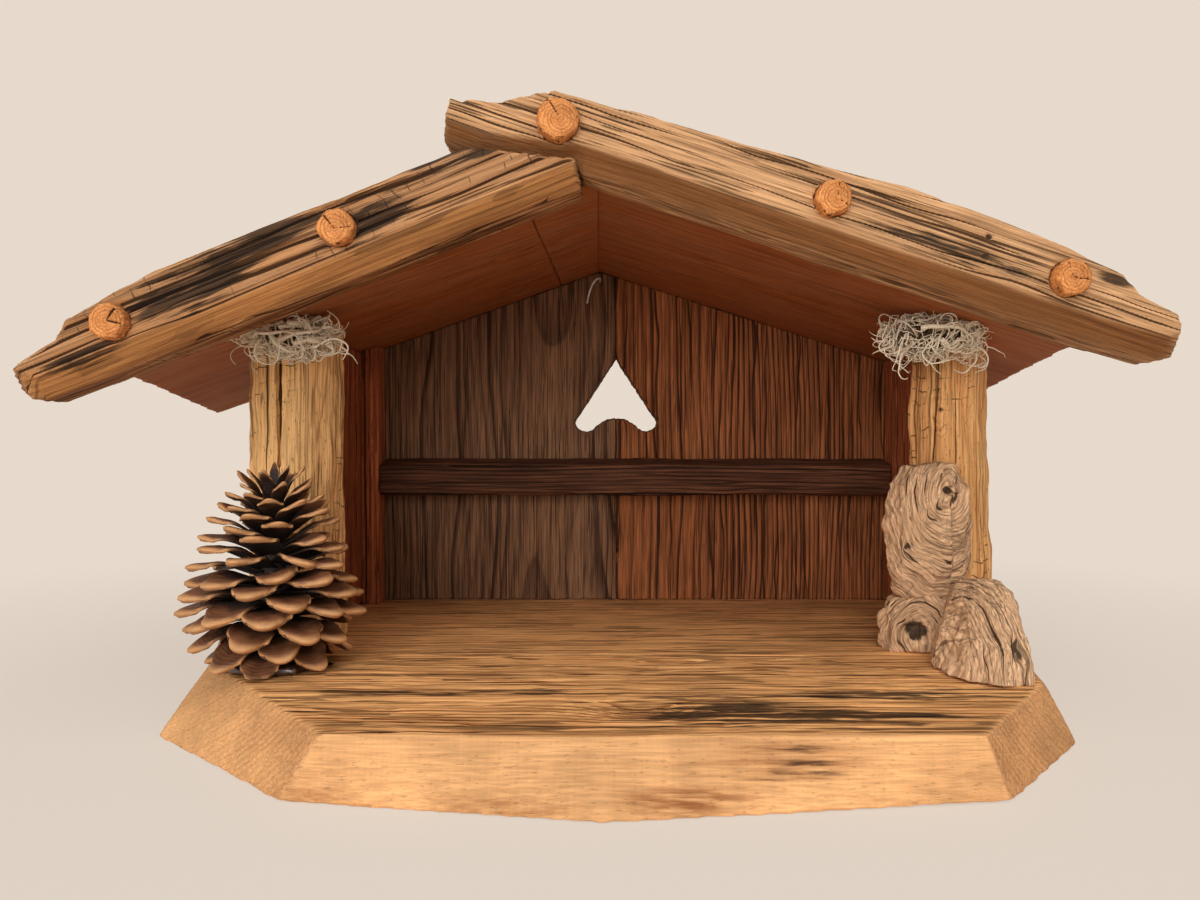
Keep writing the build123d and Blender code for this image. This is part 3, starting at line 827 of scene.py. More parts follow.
class STABLE_OT_base(bpy.types.Operator):
    """Two base planks: a worn, charred top and fresh bevels"""

    bl_idname = "stable.base_planks"
    bl_label = "Base planks"

    def execute(self, context):
        colours, sizes = context.scene.stable_colours, context.scene.stable_sizes
        material = timber_material(
            "base_timber", colours, "base", bump=0.7,
            Figure=0.6, Planed=0.12, Fibre=0.55, Checks=0.8, Pores=0.22, Saw=0.3, Line=0.5, Coarse=2.2,
        )
        plank = dict(origin=(0, BASE_SEAM, 0), along=X, ring=sizes.board_ring, worn=0.3)
        front = Timber(
            **plank, across=-Y, voxel=0.85, seed=1, pith=(-90.0, -60.0), relief=0.22, lumps=(0.35, 34.0),
            split_depth=0.7, split_size=(80.0, 4.0), split_share=0.05, split_width=0.9,
            fresh=(-Z, -0.93, -0.8),
            soot=(
                ((30, 60, -16), (31, 17, 6), 0.76),
                ((58, 65, -16), (40, 9, 6), 0.78),
                ((73, 46, -16), (38, 6, 5), 0.66),
                ((-38, 43, -16), (52, 4.0, 5), 0.66),
                ((42, 83, -11), (24, 7, 6), 0.3),
            ),
            stain=(
                ((12, 60, -16), (15, 8, 5), 0.7),
                ((42, 83, -11), (26, 8, 6), 0.55),
                ((22, 88, -4), (22, 6, 4), 0.85),
                ((-24, 87, -2), (24, 5, 3), 0.5),
                ((-70, 80, -2), (18, 4, 3), 0.4),
            ),
            knots=(((10, 60, -16), (13, 7, 14), -8.0),),
        )
        rear = Timber(
            **plank, across=Y, voxel=1.05, seed=2, pith=(-60.0, -70.0), wander=4.0, relief=0.12,
            lumps=(0.25, 40.0), split_depth=0.5, split_size=(80.0, 4.5), split_share=-0.3,
        )
        for node, timber in (("front_base_plank", front), ("rear_base_plank", rear)):
            finished(age_timber(node, timber), node, material)
        return {"FINISHED"}


class STABLE_OT_barges(bpy.types.Operator):
    """Two barge boards: cracked and greyed faces over planed chamfers"""

    bl_idname = "stable.barge_boards"
    bl_label = "Barge boards"

    CHAMFER_DOWN = 0.676
    CHAMFER_FRONT = 0.737

    def execute(self, context):
        colours, sizes = context.scene.stable_colours, context.scene.stable_sizes
        left = self.board(
            -1, LEFT_BARGE_PITCH, origin=(-7.0, -61.0, 151.9), voxel=0.45, seed=3, pith=(-70.0, 40.0),
            ring=1.7, relief=0.28, lumps=(0.5, 26.0), worn=0.7,
            split_depth=sizes.crack_depth, split_size=(85.0, 2.9), split_share=0.35, split_width=0.75,
            # Painted shade: a dark band along the lower part of the chamfer, which faces down
            stain=(((75, -1.5, 3), (400, 6.0, 40), 1.0),),
            soot=(
                ((106, 13.5, 0), (26, 8, 9), 0.8),
                ((54, 12.6, 0), (17, 9, 9), 0.76),
                ((138, 7.5, 0), (19, 3.2, 9), 0.72),
                ((84, 18.5, 0), (34, 5, 9), 0.75),
                ((20, 20, 0), (26, 5, 9), 0.75),
            ),
        )
        right = self.board(
            1, RIGHT_BARGE_PITCH, origin=(-4.9, -61.0, 156.85), voxel=0.47, seed=4, pith=(-80.0, -40.0),
            ring=1.8, relief=0.2, lumps=(0.45, 26.0), worn=0.6,
            split_depth=sizes.crack_depth * 0.7, split_size=(60.0, 2.9), split_share=0.2, split_width=0.65,
            # Painted shade: a dark band along the lower part of the chamfer, which faces down
            stain=(((75, -1.5, 3), (400, 5.5, 40), 0.8),),
            soot=(((100, 10.5, 0), (40, 3.0, 9), 0.65), ((145, 17, 0), (9, 2.0, 9), 0.8)),
            holes=(((109.2, 17.2, 0), (1.3, 0.9, 3), 1.0), ((109.9, 11.8, 0), (1.0, 0.7, 3), 0.8)),
        )
        left_finish = timber_material(
            "left_barge_timber", colours, "left_barge", bump=0.7, Figure=0.45, Planed=0.7, Fibre=0.6,
            Checks=1.0, Pores=0.15, Cross=0.8, Greying=0.4, Saw=0.1, Line=0.5,
        )
        right_finish = timber_material(
            "right_barge_timber", colours, "right_barge", bump=0.7, Figure=0.4, Planed=0.6, Fibre=0.6,
            Checks=1.0, Pores=0.15, Greying=0.15, Saw=0.1, Line=0.3,
        )
        for node, timber, material in (
            ("left_barge_board", left, left_finish),
            ("right_barge_board", right, right_finish),
        ):
            finished(age_timber(node, timber), node, material)
        return {"FINISHED"}

    def board(self, side, pitch, **growth):
        """One board, planed on the chamfer that faces down and to the front."""
        along, across = down_slope(side, pitch)
        chamfer = -self.CHAMFER_DOWN * np.array(across) - self.CHAMFER_FRONT * Y
        return Timber(along=along, across=across, fresh=(chamfer, 0.84, 0.96), fade=9, eased=4, **growth)


class STABLE_OT_roof(bpy.types.Operator):
    """Two roof boards and the ridge strip"""

    bl_idname = "stable.roof_boards"
    bl_label = "Roof boards"

    def execute(self, context):
        colours, sizes = context.scene.stable_colours, context.scene.stable_sizes
        material = timber_material(
            "roof_timber", colours, "roof", bump=0.5, Figure=0.6, Fibre=0.5, Checks=0.4, Greying=0.35
        )
        for seed, node, side, pitch, voxel, sharp in (
            (5, "left_roof_board", -1, LEFT_PITCH, 0.97, True),
            (6, "left_ridge_strip", -1, LEFT_PITCH, 0.6, False),
            (7, "right_roof_board", 1, RIGHT_PITCH, 1.03, True),
        ):
            along, _ = down_slope(side, pitch)
            timber = Timber(
                origin=(0, 0, RIDGE), along=along, across=Y, voxel=voxel, sharp=sharp, seed=seed,
                pith=(-150.0, 60.0), ring=sizes.board_ring, wander=6.0, relief=0.1, lumps=(0.25, 45.0),
                split_depth=0.5, split_size=(90.0, 5.0), split_share=-0.25, worn=0.15, eased=2,
            )
            finished(age_timber(node, timber), node, material)
        return {"FINISHED"}


class STABLE_OT_walls(bpy.types.Operator):
    """Back wall, side walls, corner batten and rail"""

    bl_idname = "stable.walls"
    bl_label = "Walls and rail"

    def execute(self, context):
        colours = context.scene.stable_colours
        left_finish = timber_material(
            "left_wall_timber", colours, "left_wall", bump=0.7,
            Figure=0.9, Fibre=0.8, Checks=0.7, Greying=0.25,
        )
        right_finish = timber_material(
            "right_wall_timber", colours, "right_wall", bump=0.7,
            Figure=1.0, Fibre=0.8, Checks=0.7, Greying=0.15, Line=0.45,
        )
        side_finish = timber_material(
            "side_wall_timber", colours, "side_wall", bump=0.7,
            Figure=0.9, Fibre=0.6, Checks=0.6, Pores=0.5, Cross=0.3, Line=0.3,
        )
        rail_finish = timber_material(
            "rail_timber", colours, "rail", bump=0.7, Figure=1.0, Fibre=0.8, Checks=0.7, Line=0.35
        )
        wall = dict(
            origin=(0, 87, BASE_TOP), along=Z, across=X, pith=(-20.0, 90.0), ring=1.6, lumps=(0.25, 22.0),
            worn=0.25, eased=2,
        )
        left_wall = Timber(
            **wall, seed=8, relief=0.3, split_depth=0.8, split_size=(60.0, 2.0), split_width=0.4
        )
        right_wall = Timber(
            **wall, seed=9, relief=0.4,
            split_depth=1.4, split_size=(70.0, 4.6), split_share=0.12, split_width=0.7,
        )
        side = dict(
            along=Z, across=Y, pith=(-30.0, 70.0), ring=1.9, relief=0.2, lumps=(0.3, 26.0), split_share=-0.05
        )
        rail = Timber(
            origin=(0, 80, 70), along=X, across=Z, seed=13, pith=(-40.0, 20.0), ring=1.7, relief=0.3,
            lumps=(0.4, 24.0), split_depth=0.9, split_size=(60.0, 3.0), split_share=0.15, worn=0.8,
        )
        for node, material, timber in (
            ("back_wall_left_board", left_finish, left_wall),
            ("back_wall_right_board", right_finish, right_wall),
            ("left_side_wall", side_finish, Timber(**side, origin=(-100, 0, BASE_TOP), voxel=0.88, seed=10)),
            ("right_side_wall", side_finish, Timber(**side, origin=(122, 0, BASE_TOP), voxel=0.9, seed=11)),
            ("left_corner_batten", side_finish, Timber(**side, origin=(-96, 80, BASE_TOP), voxel=0.6, seed=12)),
            ("rear_rail", rail_finish, rail),
        ):
            finished(age_timber(node, timber), node, material)
        return {"FINISHED"}


class STABLE_OT_posts(bpy.types.Operator):
    """Two rough posts with furrows, pores and cross checks"""

    bl_idname = "stable.posts"
    bl_label = "Posts"

    def execute(self, context):
        colours = context.scene.stable_colours
        material = timber_material(
            "post_timber", colours, "post", bump=0.8,
            Figure=0.2, Fibre=0.35, Checks=0.7, Pores=0.5, Cross=0.9, Greying=0.1, Line=0.34,
        )
        post = dict(
            along=Z, across=X, voxel=0.55, pith=(0.0, 0.0), ring=1.5, wander=2.5, relief=0.3, split_depth=1.6,
            split_size=(190.0, 7.0), split_share=0.05, split_width=0.7, worn=0.4, girth=13.0,
        )
        left = Timber(
            **post, origin=(-106.5, 15.5, BASE_TOP), seed=14, lumps=(0.9, 12.0),
            # Painted shade: a dark line down the open crack in the left post
            soot=(((76, -1.8, -13), (46, 0.5, 5), 1.3),),
            stain=(((84, -12, -10), (40, 6, 9), 0.2),),
        )
        right = Timber(
            **post, origin=(122.2, 13.8, BASE_TOP), seed=15, lumps=(1.0, 11.0),
            # Painted shade: the whole right post is darkened in streaks
            stain=(((60, 0, 0), (200, 40, 40), 1.0),),
            knots=(((79, -6.5, -13), (6, 4, 6), 6.0),),
            holes=(((79, -6.5, -13), (1.6, 1.5, 4), 0.8),),
        )
        for node, timber in (("left_post", left), ("right_post", right)):
            finished(age_timber(node, timber), node, material)
        return {"FINISHED"}


class STABLE_OT_pegs(bpy.types.Operator):
    """Round pegs with ringed, split end grain"""

    bl_idname = "stable.pegs"
    bl_label = "Pegs"

    NODES = ("left_eave_peg", "left_middle_peg", "ridge_peg", "right_middle_peg", "right_eave_peg")
    FIRST_SEED = 30
    VOXEL = 0.28
    RING = 0.95
    OFF_MIDDLE = 0.9
    SPLIT_COUNT = 2
    NO_SPLIT = 9.0
    SPLIT_DEPTH = 1.1
    EDGE_WEAR = 0.55
    LUMP_HEIGHT, SIDE_HEIGHT = 0.28, 0.35

    def execute(self, context):
        colours = context.scene.stable_colours
        material = timber_material(
            "peg_timber", colours, "peg", bump=0.6, Figure=0.4, Fibre=0.5, Checks=0.0, Pores=0.6, Line=0.5
        )
        rng = np.random.default_rng(21)
        for seed, node in enumerate(self.NODES, self.FIRST_SEED):
            finished(self.peg(node, seed, rng), node, material)
        return {"FINISHED"}

    def peg(self, node, seed, rng):
        """One peg, with splits that run out from its pith on the front face."""
        piece = even_copy(node, node + "_aged", self.VOXEL)
        surface = Surface(piece)
        low, high = box_of(node)
        middle = (low + high) / 2
        grain = (surface.points - (middle[0], low[1], middle[2]))[:, (1, 0, 2)]
        pith = rng.uniform(-self.OFF_MIDDLE, self.OFF_MIDDLE, 2)
        radius = np.hypot(grain[:, 1] - pith[0], grain[:, 2] - pith[1])
        around = np.arctan2(grain[:, 2] - pith[1], grain[:, 1] - pith[0])
        front = step(0.4, 0.9, -surface.normals[:, 1])
        split = np.full(len(grain), self.NO_SPLIT)
        for angle in np.cumsum(rng.uniform(1.1, 2.6, self.SPLIT_COUNT)) - 2.4:
            apart = np.abs((around - angle + math.pi) % math.tau - math.pi) * radius
            apart += 0.35 * np.abs(noise(grain / 1.6, seed + 3))
            split = np.minimum(split, apart / rng.uniform(0.35, 0.75))
        gape = front * (1 - step(0.0, 0.5, split)) * step(0.2, 1.0, radius)
        edge = surface.edges(3, self.VOXEL)
        push = self.LUMP_HEIGHT * rough(grain / (4, 2.2, 2.2), seed, 3)
        push -= self.EDGE_WEAR * edge + self.SPLIT_DEPTH * gape
        push -= self.SIDE_HEIGHT * rough(grain / (30, 3, 3), seed + 9, 1) * (1 - front)
        surface.push(push)
        still = np.zeros(len(grain))
        surface.store(
            grain=grain * (4, 1, 1), ring=radius / self.RING + 0.4 * noise(grain / 2.5, seed + 5),
            split=split, opened=front, wear=edge, fresh=still, ends=still,
            soot=0.5 * (1 - front) * step(0.1, 0.6, noise(grain / 2.0, seed + 7)),
        )
        return piece


class STABLE_OT_bark(bpy.types.Operator):
    """Weathered bark with swirling, cracked ridges"""

    bl_idname = "stable.bark"
    bl_label = "Bark"

    RIDGE_GAP = 1.5
    CRACK_LENGTH, CRACK_GAP = 16.0, 3.4
    CRACK_WIDTH, CRACK_DEPTH = 0.7, 0.9
    PIT_SIZE, PIT_DEPTH = 5.5, 1.3
    LUMP_SIZE, LUMP_HEIGHT = 13, 1.5
    WAVE_HEIGHT = 0.4
    EDGE_WEAR = 0.4
    EASED = 8

    def execute(self, context):
        colours = context.scene.stable_colours
        material = timber_material(
            "bark_surface", colours, "bark", bump=0.9,
            Figure=0.34, Fibre=0.7, Checks=0.7, Pores=0.35, Cross=0.5, Greying=0.25, Line=0.36,
        )
        rear_hollows = (((-2, -10, -1), (6, 8, 4), 2.6),)
        upper_hollows = (((4.5, -8, 16), (3, 6, 2.2), 2.4),)
        front_hollows = (((-7.6, -14, -1), (2.2, 12, 4), 2.6), ((5.7, -14, -3.7), (2.4, 12, 4.5), 2.6))
        for seed, node, voxel, eye, hollows in (
            (41, "rear_bark", 0.42, (-2.0, -3.0), rear_hollows),
            (42, "upper_bark", 0.42, (5.0, 17.0), upper_hollows),
            (43, "front_bark", 0.45, (-70.0, 8.0), front_hollows),
        ):
            finished(self.bark(node, seed, voxel, np.array(eye), hollows), node, material)
        return {"FINISHED"}

    def bark(self, node, seed, voxel, eye, hollows):
        """One piece, with ridges that swirl about an eye in its front."""
        piece = even_copy(node, node + "_aged", voxel, sharp=False)
        surface = Surface(piece)
        surface.ease(self.EASED, voxel)
        low, high = box_of(node)
        place = surface.points - (low + high) / 2

        # Places in the swirl: round the eye, out from it, and through the bark
        apart = (place[:, (0, 2)] - eye) * (1.0, 0.75)
        round_eye = np.arctan2(*apart.T) * math.hypot(*eye, 14) + 3 * noise(place / 20, seed + 4)
        radius = np.sqrt(np.sum(apart**2, axis=1) + 36)
        radius += 3.0 * rough(place / 20, seed, 2) + 0.1 * place[:, 1]
        grain = np.stack([round_eye, radius, 0.3 * place[:, 1]], 1)

        split, near, opening = cracks(grain, self.CRACK_LENGTH, self.CRACK_GAP, seed + 8)
        opened = near * step(0.05, 0.5, opening)
        gape = opened * (1 - step(0.0, self.CRACK_WIDTH, np.abs(split)))
        pits = step(0.38, 0.62, noise(place / self.PIT_SIZE, seed + 16))
        pits *= step(0.0, 0.4, noise(place / self.LUMP_SIZE, seed + 18))
        deep = spots(place, hollows)
        edge = surface.edges(4, voxel)
        ring = (grain[:, 1] + 1.6 * rough(place / 6, seed + 21, 2)) / self.RIDGE_GAP
        ring += 0.5 * noise(grain / (9, 3, 6), seed + 20)
        wave = np.sin(ring * math.tau) * step(-0.35, 0.45, noise(place / 8, seed + 24))
        push = self.LUMP_HEIGHT * rough(place / self.LUMP_SIZE, seed + 22, 4) + self.WAVE_HEIGHT * wave
        push -= self.CRACK_DEPTH * gape + self.PIT_DEPTH * pits + deep + self.EDGE_WEAR * edge
        surface.push(push)
        surface.keep_above(low[2])
        # Painted shade: the pits, the hollows and wherever the surface sinks are darkened
        surface.store(
            grain=grain * (1.2, 1.4, 1.4), ring=ring, split=split, opened=opened, wear=edge,
            soot=np.maximum(0.6 * pits, 0.26 * deep) + 0.3 * step(0.4, 2.2, -push),
        )
        return piece


def cone_material(colours):
    """Woody scales: dark roots that also stand as painted shade between the scales, undersides darkened as
    painted shade, tan tips with growth lines, and pale rims.
    """
    material, tree, shader = new_material("cone_scale")
    place = tree.object_place()
    spot, rim, upper = tree.mark("spot"), tree.mark("rim"), tree.mark("upper")
    mottle = tree.noise(place, (260,) * 3, 3.0)
    fine = tree.noise(place, (1400,) * 3)
    lines = tree.calc("SINE", (spot + mottle * 0.12) * 95.0)
    tip = tree.step(spot + mottle * 0.25, 0.55, 0.86)
    tan = tree.shade(colours.cone_tip, tree.step(mottle, 0.25, 0.75, 0.62, 1.25))
    tan = tree.shade(tan, lines * 0.07 + 1.0)
    # Painted shade: the underside of each scale takes more of the dark root colour
    colour = tree.mix(tip * tree.step(upper, 0.0, 1.0, 0.45, 1.0), colours.cone_root_and_shade, tan)
    colour = tree.mix(rim * 0.85, colour, tree.shade(colours.cone_rim, mottle + 0.6))
    gloss = tree.step(mottle, 0.3, 0.7, 0.5, 0.75)
    height = fine * 0.4 + mottle + lines * 0.12
    dress(tree, shader, colour, gloss, height, bump=0.5, distance=0.5 * MM)
    return material


class STABLE_OT_cone(bpy.types.Operator):
    """Pine cone: shaped scales on its core, and the set glue under it"""

    bl_idname = "stable.pine_cone"
    bl_label = "Pine cone"

    # How far the scales reach and how steeply they stand, from the foot to the tip of the cone
    REACH = ((0.0, 0.72), (0.2, 1.0), (0.45, 0.9), (0.7, 0.64), (0.88, 0.38), (1.0, 0.2))
    TILT = ((0.0, -28.0), (0.07, -18.0), (0.16, -4.0), (0.3, 4.0), (0.5, 14.0), (0.8, 40.0), (1.0, 70.0))
    GOLDEN_TURN = math.pi * (3 - math.sqrt(5))
    CORE_SHARE = 0.86
    CORE_RADIUS = 3.25
    CORE_TAPER = 0.7
    FIRST_LEVEL, LEVELS = 0.09, 0.71
    HALF_WIDTH = 6.7
    STALK, TIP = 0.8, 2.2
    DISH, DROOP = 0.9, 3.2
    LOWEST_POINT = -1.6
    GLUE_VOXEL = 0.6
    GLUE_RUN, GLUE_SPREAD = 1.5, 3.5
    GLUE_LUMPS = 0.6

    def execute(self, context):
        colours, sizes = context.scene.stable_colours, context.scene.stable_sizes
        # The core mottles into the dark root colour, partly painted shade deep among the scales
        core_finish = plain_material(
            "cone_core", linear(70, 44, 28), colours.cone_root_and_shade, (300,) * 3, roughness=0.7
        )
        finish_node("pine_cone_core", core_finish)
        finished(self.scales(sizes.scale_count), "pine_cone_scales", cone_material(colours))
        glue_finish = plain_material(
            "set_glue", linear(84, 56, 38), colours.glue, (500,) * 3, roughness=0.35, bump=0.6, coat=0.5
        )
        finished(self.glue(), "pine_cone_pad", glue_finish)
        return {"FINISHED"}

    def slab(self):
        """Thin closed slab, from -1 to 1 both ways, that each scale is shaped from."""
        work = bmesh.new()
        bmesh.ops.create_grid(work, x_segments=12, y_segments=10, size=1)
        raised = bmesh.ops.extrude_face_region(work, geom=work.faces[:])
        new = [part for part in raised["geom"] if isinstance(part, bmesh.types.BMVert)]
        bmesh.ops.translate(work, verts=new, vec=(0, 0, 1))
        bmesh.ops.recalc_face_normals(work, faces=work.faces)
        return new_mesh("scale_slab", work)

    def scales(self, count):
        slab = self.slab()
        flat = np.empty(len(slab.vertices) * 3)
        slab.vertices.foreach_get("co", flat)
        flat = flat.reshape(-1, 3)
        low, high = box_of("pine_cone_core")
        box_low, box_high = box_of("pine_cone_scales")
        middle = (low + high) / 2
        height = (high[2] - low[2]) / self.CORE_SHARE
        reach = (box_high[0] - box_low[0]) / 2
        rng = np.random.default_rng(51)
        work = bmesh.new()
        marks = []
        points = []
        for index in range(count):
            work.from_mesh(slab)
            shaped, mark = self.scale(flat, index, count, height, reach, rng)
            points.append(shaped + (middle[0], middle[1], low[2]))
            marks.append(mark)
        piece = new_piece("pine_cone_scales_shaped", new_mesh("pine_cone_scales_shaped", work))
        bpy.data.meshes.remove(slab)
        surface = Surface(piece)
        surface.points = np.concatenate(points)
        spot, rim, upper = np.concatenate(marks).T
        surface.store(spot=spot, rim=rim, upper=upper)
        return piece

    def scale(self, flat, index, count, height, reach, rng):
        """Points of one scale about the foot of the core, and its marks."""
        place = (index + 0.5) / count
        level = self.FIRST_LEVEL + self.LEVELS * place
        turn = index * self.GOLDEN_TURN + rng.normal(0, 0.05)
        share = np.interp(place, *zip(*self.REACH))
        tilt = math.radians(np.interp(place, *zip(*self.TILT)) + rng.normal(0, 3.0))
        slim = 0.15 + 0.85 * share
        root = self.CORE_RADIUS * (1 - self.CORE_TAPER * level)
        length = (share * reach * rng.uniform(0.94, 1.02) - root) / math.cos(tilt)

        # The slab's points, closer together at the tip and along the sides
        along, side, layer = 1 - ((1 - flat[:, 0]) / 2) ** 1.6, flat[:, 1], flat[:, 2]
        side = np.sign(side) * (1 - (1 - np.abs(side)) ** 1.5)
        tip = step(0.8, 1.0, along)

        # A stalk that widens to a thick, rounded tip, dished and bent down
        wide = (0.55 + 0.45 * step(0.05, 0.62, along)) * (1 - 0.22 * tip)
        half = wide * slim * self.HALF_WIDTH * rng.uniform(0.9, 1.06) * (1 - 0.4 * step(0.8, 1.0, place))
        thick = slim * (self.STALK + self.TIP * step(0.6, 0.94, along) * (1 - 0.75 * side**2))
        thick *= 1 - 0.7 * step(0.92, 1.0, along)
        dish = self.DISH * slim * side**2 * step(0.2, 0.7, along)
        dish -= self.DROOP * slim * (np.maximum(along - 0.42, 0) / 0.58) ** 1.7
        reached = length * (along - 0.26 * along**4 * np.abs(side) ** 2.3)
        ragged = 0.35 * slim * noise(np.stack([side * 2.4, along * 0 + index, along * 3], 1), 53)
        reached = reached + ragged * tip
        rise = dish + (layer - 0.75) * thick
        twist = rng.normal(0, 0.12)
        cross = side * half * math.cos(twist) - rise * math.sin(twist)
        lift = side * half * math.sin(twist) + rise

        out = np.array((math.cos(turn), math.sin(turn), 0))
        away = out * math.cos(tilt) + Z * math.sin(tilt)
        over = np.array((-math.sin(turn), math.cos(turn), 0))
        start = out * root + Z * height * level
        points = start + reached[:, None] * away + cross[:, None] * over + lift[:, None] * np.cross(away, over)
        points[:, 2] = np.maximum(points[:, 2], self.LOWEST_POINT)
        sides = step(0.88, 1.0, np.abs(side)) * step(0.6, 0.85, along)
        rim = np.maximum(step(0.91, 0.98, along), sides)
        spot = along * (1 - 0.3 * step(0.82, 1.0, place))
        return points, np.stack([spot, rim, layer], 1)

    def glue(self):
        """Pad of glue that ran out unevenly before it set."""
        piece = even_copy("pine_cone_pad", "pine_cone_pad_set", self.GLUE_VOXEL, sharp=False)
        surface = Surface(piece)
        outward = surface.points - np.mean(surface.points, axis=0)
        outward[:, 2] = 0
        outward /= np.maximum(np.linalg.norm(outward, axis=1), 0.1)[:, None]
        side = step(0.3, 0.8, np.hypot(*surface.normals[:, :2].T))
        run = self.GLUE_RUN + self.GLUE_SPREAD * rough(outward * 1.8, 61, 2)
        surface.points += outward * (side * run)[:, None]
        top = step(BASE_TOP + 0.5, BASE_TOP + 2.0, surface.points[:, 2])
        surface.points[:, 2] += self.GLUE_LUMPS * rough(surface.points / 4, 63, 3) * top
        surface.store()
        return piece


def lichen_material(colours):
    """Dry strands: pale on the outside of a tuft, and darker olive inside it as painted shade."""
    material, tree, shader = new_material("lichen_strands")
    place = tree.object_place()
    mottle = tree.noise(place, (420,) * 3, 3.0)
    fine = tree.noise(place, (2600,) * 3)
    outer = tree.step(tree.mark("outer") + (mottle - 0.5) * 0.9, 0.3, 0.9)
    colour = tree.mix(outer, colours.lichen_shaded_heart, colours.lichen_pale)
    colour = tree.shade(colour, tree.step(fine, 0.3, 0.7, 0.75, 1.1))
    shader.inputs["Specular IOR Level"].default_value = 0.15
    gloss = tree.step(mottle, 0.3, 0.7, 0.75, 0.95)
    dress(tree, shader, colour, gloss, fine, bump=0.4, distance=0.2 * MM)
    return material


class STABLE_OT_lichen(bpy.types.Operator):
    """Tufts of branching lichen round the tops of the posts"""

    bl_idname = "stable.lichen"
    bl_label = "Lichen"

    HANGING_COUNT = 10
    STOUT_COUNT = 7
    ROOF_GAP = 0.4
    TIP_SHARE = 0.35
    HANGING_DROOP = 0.2

    def execute(self, context):
        colours, sizes = context.scene.stable_colours, context.scene.stable_sizes
        material = lichen_material(colours)
        for node, centre, spread, pitch, seed in (
            ("left_lichen", (-99.5, -9.0, 118.5), (14.5, 15.0, 7.0), LEFT_PITCH, 71),
            ("right_lichen", (107.0, -9.0, 118.5), (16.5, 16.0, 7.5), RIGHT_PITCH, 72),
        ):
            piece = self.tuft(node, np.array(centre), np.array(spread), pitch, seed, sizes)
            finished(piece, node, material)
        return {"FINISHED"}

    def tuft(self, node, centre, spread, pitch, seed, sizes):
        """One tuft: a tangle of forked strands, some that hang from it, and a few stout ones."""
        rng = np.random.default_rng(seed)
        line = new_curve(node + "_strands", sizes.strand_radius)

        def under_roof(point):
            point[2] = min(point[2], RIDGE - abs(point[0]) * math.tan(pitch) - self.ROOF_GAP)
            return point

        def strand(start, heading, length, radius, droop, curl, steps=8):
            """One strand that wanders from its start and stays near the tuft."""
            points = [start]
            heading = unit(heading)
            leash = 0.3 if droop > self.HANGING_DROOP else 2.0
            for _ in range(steps):
                away = (points[-1] - centre) / spread
                pull = -away * max(0.0, np.linalg.norm(away) - 0.85) * leash
                heading = unit(heading + rng.normal(size=3) * curl + pull - Z * droop)
                points.append(under_roof(points[-1] + heading * length / steps))
            add_strand(line, points, radius * np.linspace(1, self.TIP_SHARE, len(points)))
            return points

        for _ in range(sizes.strand_count):
            away = unit(rng.normal(size=3))
            start = under_roof(centre + away * spread * rng.uniform(0.45, 1.0))
            heading = np.cross(away, rng.normal(size=3))
            points = strand(start, heading, rng.uniform(9, 22), rng.uniform(0.5, 1.05), droop=0.02, curl=0.5)
            for _ in range(rng.integers(0, 3)):
                fork = points[rng.integers(2, 7)]
                heading = rng.normal(size=3)
                length, radius = rng.uniform(4, 10), rng.uniform(0.45, 0.8)
                strand(fork, heading, length, radius, droop=0.03, curl=0.4, steps=5)
        for _ in range(self.HANGING_COUNT):
            turn = rng.uniform(math.pi * 0.95, math.pi * 2.05)
            out, over = math.cos(turn), math.sin(turn)
            start = centre + spread * (0.9 * out, 0.9 * over, rng.uniform(-0.8, 0.1))
            heading = np.array((out, over, rng.uniform(-1.2, 0.2)))
            points = strand(start, heading, rng.uniform(7, 16), rng.uniform(0.7, 1.2), droop=0.24, curl=0.35)
            heading = rng.normal(size=3) - Z
            strand(points[4], heading, rng.uniform(5, 10), radius=0.6, droop=0.22, curl=0.3, steps=5)
        for _ in range(self.STOUT_COUNT):
            turn = rng.uniform(math.pi * 1.1, math.pi * 1.9)
            out, over = math.cos(turn), math.sin(turn)
            start = centre + spread * (0.9 * out, 0.95 * over, rng.uniform(-0.6, 0.6))
            heading = np.array((-over, out, rng.uniform(-0.3, 0.3)))
            points = strand(start, heading, rng.uniform(16, 30), rng.uniform(1.9, 2.6), droop=0.02, curl=0.25)
            for fork in points[2:7:2]:
                heading = rng.normal(size=3) - 0.4 * Z
                length, radius = rng.uniform(5, 10), rng.uniform(0.8, 1.2)
                strand(fork, heading, length, radius, droop=0.05, curl=0.35, steps=6)

        piece = curve_piece(line, node + "_strands")
        surface = Surface(piece)
        outer = np.linalg.norm((surface.points - centre) / spread, axis=1)
        surface.store(outer=step(0.35, 1.0, outer))
        return piece


